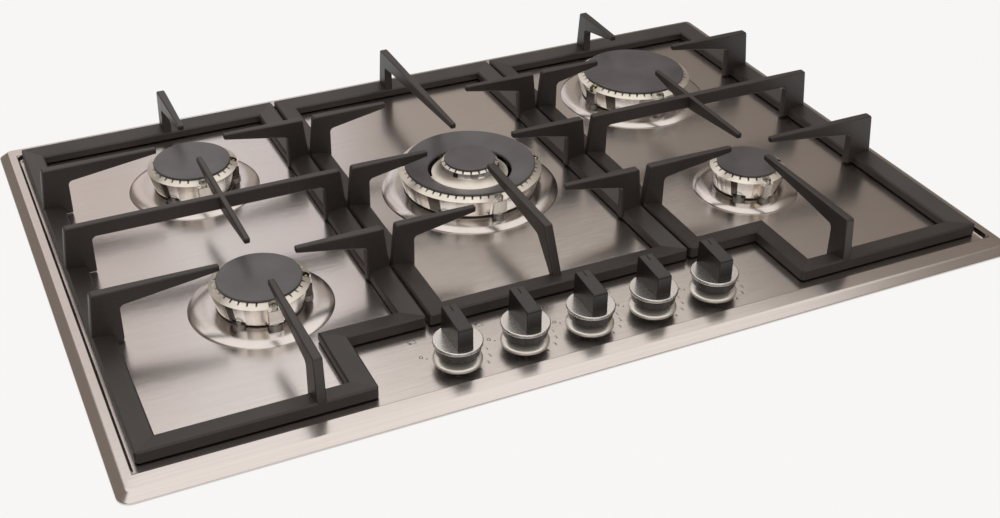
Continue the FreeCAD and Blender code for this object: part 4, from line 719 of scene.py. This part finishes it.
# %% Dial marks
FILM = 0.02
DIGIT_SIZE = 4.7
DIGITS = {"7": (-17.1, -14.9), "6": (-8.8, -20.2), "5": (0.1, -21.7), "4": (9.7, -19.5),
          "3": (18.3, -14.2), "2": (22.8, -6.9), "1": (24.3, 1.0)}
SPARK_PLACE = (-24.8, 10.9)
SPARK_RING = (1.1, 1.6)                # inner and outer radius
SPARK_DOT = (3.4, -3.4)                # from the ring's middle
SIGN_PLACE = (-24.0, 31.0)
SIGN_HALF = np.array([3.0, 2.3])
SIGN_LINE = 0.35
SIGN_DOT = (0.05, 0.75)                # inner and outer radius
SIGN_DOT_REACH = np.array([1.7, 1.1])  # from the sign's middle to a corner burner's dot
BURNERS_MIDDLE = np.array([0.0, 21.5])
BURNERS_SPREAD = np.array([222.0, 99.5])
FED = ["left_front", "left_rear", "centre", "right_rear", "right_front"]


def text_mesh(text, size):
    """Points and faces of a line of text round its middle, in millimetres."""
    curve = bpy.data.curves.new("text", "FONT")
    curve.body = text
    curve.size = size
    curve.align_x, curve.align_y = "CENTER", "CENTER"
    curve.resolution_u = 3
    curve.extrude = FILM / 2
    holder = bpy.data.objects.new("text", curve)
    mesh = bpy.data.meshes.new_from_object(holder)
    points = np.empty(len(mesh.vertices) * 3)
    mesh.vertices.foreach_get("co", points)
    faces = [list(polygon.vertices) for polygon in mesh.polygons]
    bpy.data.objects.remove(holder)
    bpy.data.meshes.remove(mesh)
    return points.reshape(-1, 3), faces


def band(inner, outer):
    """Closed film between two rings of the same number of points."""
    count = len(inner)
    rings = np.stack([outer, inner, inner, outer])
    height = np.array([1, 1, -1, -1])[:, None] * np.ones(count) * FILM / 2
    points = np.dstack([rings, height[..., None]]).reshape(-1, 3)
    step = np.arange(count)
    on = (step + 1) % count
    quads = [np.stack([a * count + step, a * count + on, b * count + on, b * count + step], axis=-1)
             for a, b in ((0, 1), (1, 2), (2, 3), (3, 0))]
    return points, np.vstack(quads).tolist()


def ring_points(radius, count, turn=0.0):
    """Corners of a regular polygon round the middle."""
    angle = turn + np.arange(count) * 2 * math.pi / count
    return np.column_stack([radius * np.cos(angle), radius * np.sin(angle)])


def sign_of(place):
    """Square outline, with a dot where the burner is on the plate."""
    corners = np.array([[1, 1], [-1, 1], [-1, -1], [1, -1]]) * SIGN_HALF
    outline = band(corners - np.sign(corners) * SIGN_LINE, corners)
    burner = np.array([BURNERS[place]["x"], BURNERS[place]["y"]])
    spot = (burner - BURNERS_MIDDLE) / BURNERS_SPREAD * SIGN_DOT_REACH
    dot = band(*(ring_points(radius, 16) + spot for radius in SIGN_DOT))
    return [outline, dot]


pieces = []
for knob, place in zip(KNOBS, FED):
    marks = [(text_mesh(digit, DIGIT_SIZE), where) for digit, where in DIGITS.items()]
    marks += [(film, SIGN_PLACE) for film in sign_of(place)]
    marks.append((band(*(ring_points(radius, 8, 0.4) for radius in SPARK_RING)), SPARK_PLACE))
    marks.append((text_mesh("\u2022", DIGIT_SIZE), np.add(SPARK_PLACE, SPARK_DOT)))
    for (points, faces), (x, y) in marks:
        spot = np.array([knob[0] + x, knob[1] + y, WORKTOP + WELL_H + FILM])
        pieces.append((points + spot, faces))
make_piece("dial_print", *joined(pieces), dial_ink, "base", "satin_steel")

# %% [markdown]
# ## The pointer on each grip
#
# A short groove near the back end of the grip points at the number. The groove isn't cut: its shade is
# painted as a near-black film on the sloped top, and the film turns with its knob.

# %% Pointers
GRIP_ENDS = np.array([[-14.6, 38.0], [17.2, 40.6]])     # (y from the axis, height): front, rear
POINTER_Y = np.array([8.0, 14.6])      # from the axis: front end, rear end
POINTER_X = np.array([-0.45, 0.45])
POINTER_SINKS, POINTER_STANDS = -0.05, 0.04


def pointer(knob):
    """Box of film on the straight line between the grip's two ends: four corners below, four above."""
    height = np.interp(POINTER_Y, GRIP_ENDS[:, 0], GRIP_ENDS[:, 1])
    corners = [[POINTER_X[i], POINTER_Y[j], height[j] + lift]
               for lift in (POINTER_SINKS, POINTER_STANDS) for i, j in ((0, 0), (1, 0), (1, 1), (0, 1))]
    return np.array(corners) + [knob[0], knob[1], WORKTOP]


BOX_FACES = [(0, 3, 2, 1), (4, 5, 6, 7), (0, 1, 5, 4), (1, 2, 6, 5), (2, 3, 7, 6), (3, 0, 4, 7)]
for i, knob in enumerate(KNOBS, 1):
    make_piece("pointer_%d" % i, pointer(knob), BOX_FACES, groove_shade_film, "knob_%d" % i, "knob_black")

# %% [markdown]
# ## The worktop
#
# A cooktop is let into a worktop, so its plate rests on the floor of this scene and its lower case hangs
# through a cut-out. The floor's material looks near white to the camera and in reflections, but for the
# rest it is a plain pale surface, so it keeps the object's shadow.

# %% Worktop
SHEET_HALF = 9.0
CUT_OUT = (0.28, 0.24)          # half of its length and depth
BELOW_PLATE = 0.00005
SEEN_WHITE = 0.8                # share of plain white that the camera and reflections see


def worktop_sheet():
    """Four strips round a rectangular hole, a hair below the plate's edge."""
    signs = np.array([[1, 1], [-1, 1], [-1, -1], [1, -1]])
    rings = np.vstack([signs * SHEET_HALF, signs * CUT_OUT])
    points = np.column_stack([rings, np.full(8, WORKTOP * MM - BELOW_PLATE)])
    mesh = bpy.data.meshes.new("worktop")
    mesh.from_pydata(points.tolist(), [], [(i, (i + 1) % 4, (i + 1) % 4 + 4, i + 4) for i in range(4)])
    sheet = bpy.data.objects.new("worktop", mesh)
    bpy.context.scene.collection.objects.link(sheet)
    return sheet


def paper_white(name):
    """Pale floor that the camera and reflections see near white, with the object's shadow kept."""
    finish = Finish(name, (0.86, 0.86, 0.86), 0.8)
    light = finish.tree.nodes.new("ShaderNodeLightPath")
    seen = Number(finish, light.outputs["Is Camera Ray"]) + Number(finish, light.outputs["Is Glossy Ray"])
    seen = seen + Number(finish, light.outputs["Is Transmission Ray"])
    glow = finish.tree.nodes.new("ShaderNodeEmission")
    glow.inputs["Color"].default_value = (1, 1, 1, 1)
    mix = finish.tree.nodes.new("ShaderNodeMixShader")
    finish.put(mix.inputs[0], seen * SEEN_WHITE)
    finish.tree.links.new(finish.shader.outputs[0], mix.inputs[1])
    finish.tree.links.new(glow.outputs[0], mix.inputs[2])
    finish.tree.links.new(mix.outputs[0], finish.tree.nodes["Material Output"].inputs["Surface"])
    return finish.material


worktop = worktop_sheet()
worktop.data.materials.append(paper_white("paper_white"))
print("worktop sheet at height", round(WORKTOP * MM, 4))

# %% [markdown]
# ## Lamps
#
# Steel shows what is around it, so the lamps are large and plain: a wide one overhead, upright panes at
# the back and a wide one in front. The panes stand side by side on the left and a dimmer wall on the
# right, which gives the plate its run from bright to dark.

# %% Lamps
def soft_box(name, place, target, size, radiance, color=(1, 1, 1)):
    """Rectangular lamp that faces a target. Its power gives the radiance that a mirror would see."""
    lamp = bpy.data.lights.new(name, "AREA")
    lamp.shape = "RECTANGLE"
    lamp.size, lamp.size_y = size
    lamp.energy = radiance * math.pi * size[0] * size[1]
    lamp.color = color
    box = bpy.data.objects.new(name, lamp)
    direction = np.array(target, float) - np.array(place, float)
    flat = math.hypot(direction[0], direction[1])
    box.location = place
    box.rotation_euler = (math.atan2(flat, -direction[2]), 0, math.atan2(-direction[0], direction[1]))
    bpy.context.scene.collection.objects.link(box)
    print(name, "power", round(lamp.energy, 1))


PANE_Y, PANE_Z, PANE_TALL = 2.6, 1.35, 2.3
PANES = [(-0.35, 0.60, 0.60, (1.0, 0.93, 0.92)), (0.07, 0.20, 0.50, (1.0, 0.92, 0.92)),
         (0.30, 0.22, 0.80, (0.96, 0.97, 1.0)), (0.60, 0.34, 0.60, (0.98, 0.95, 1.0))]
soft_box("overhead", (0.1, 0.0, 1.9), (0.1, 0.0, 0.0), (3.2, 3.8), 0.90, (1.0, 0.985, 0.96))
soft_box("ceiling_strip", (1.1, 2.1, 1.9), (1.1, 2.1, 0.0), (1.4, 0.45), 0.50, (1.0, 0.97, 0.93))
for number, (x, width, radiance, color) in enumerate(PANES, 1):
    soft_box("pane_%d" % number, (x, PANE_Y, PANE_Z), (x, 0.0, PANE_Z), (width, PANE_TALL), radiance, color)
soft_box("wall", (1.22, 2.7, 1.05), (1.22, 0.0, 1.05), (0.86, 1.7), 0.20, (1.0, 0.93, 0.84))
soft_box("front", (-0.9, -2.6, 1.1), (0.0, 0.0, 0.1), (3.2, 1.6), 0.65, (1.0, 0.97, 0.92))

world = bpy.data.worlds.new("room")
world.use_nodes = True
world.node_tree.nodes["Background"].inputs["Color"].default_value = (0.24, 0.20, 0.17, 1)
world.node_tree.nodes["Background"].inputs["Strength"].default_value = 1.0
bpy.context.scene.world = world

# %% [markdown]
# ## The last update
#
# The dressed model must be as large as the frame. The view layer is brought up to date at the end.

# %% Update the view layer
bpy.context.view_layer.update()
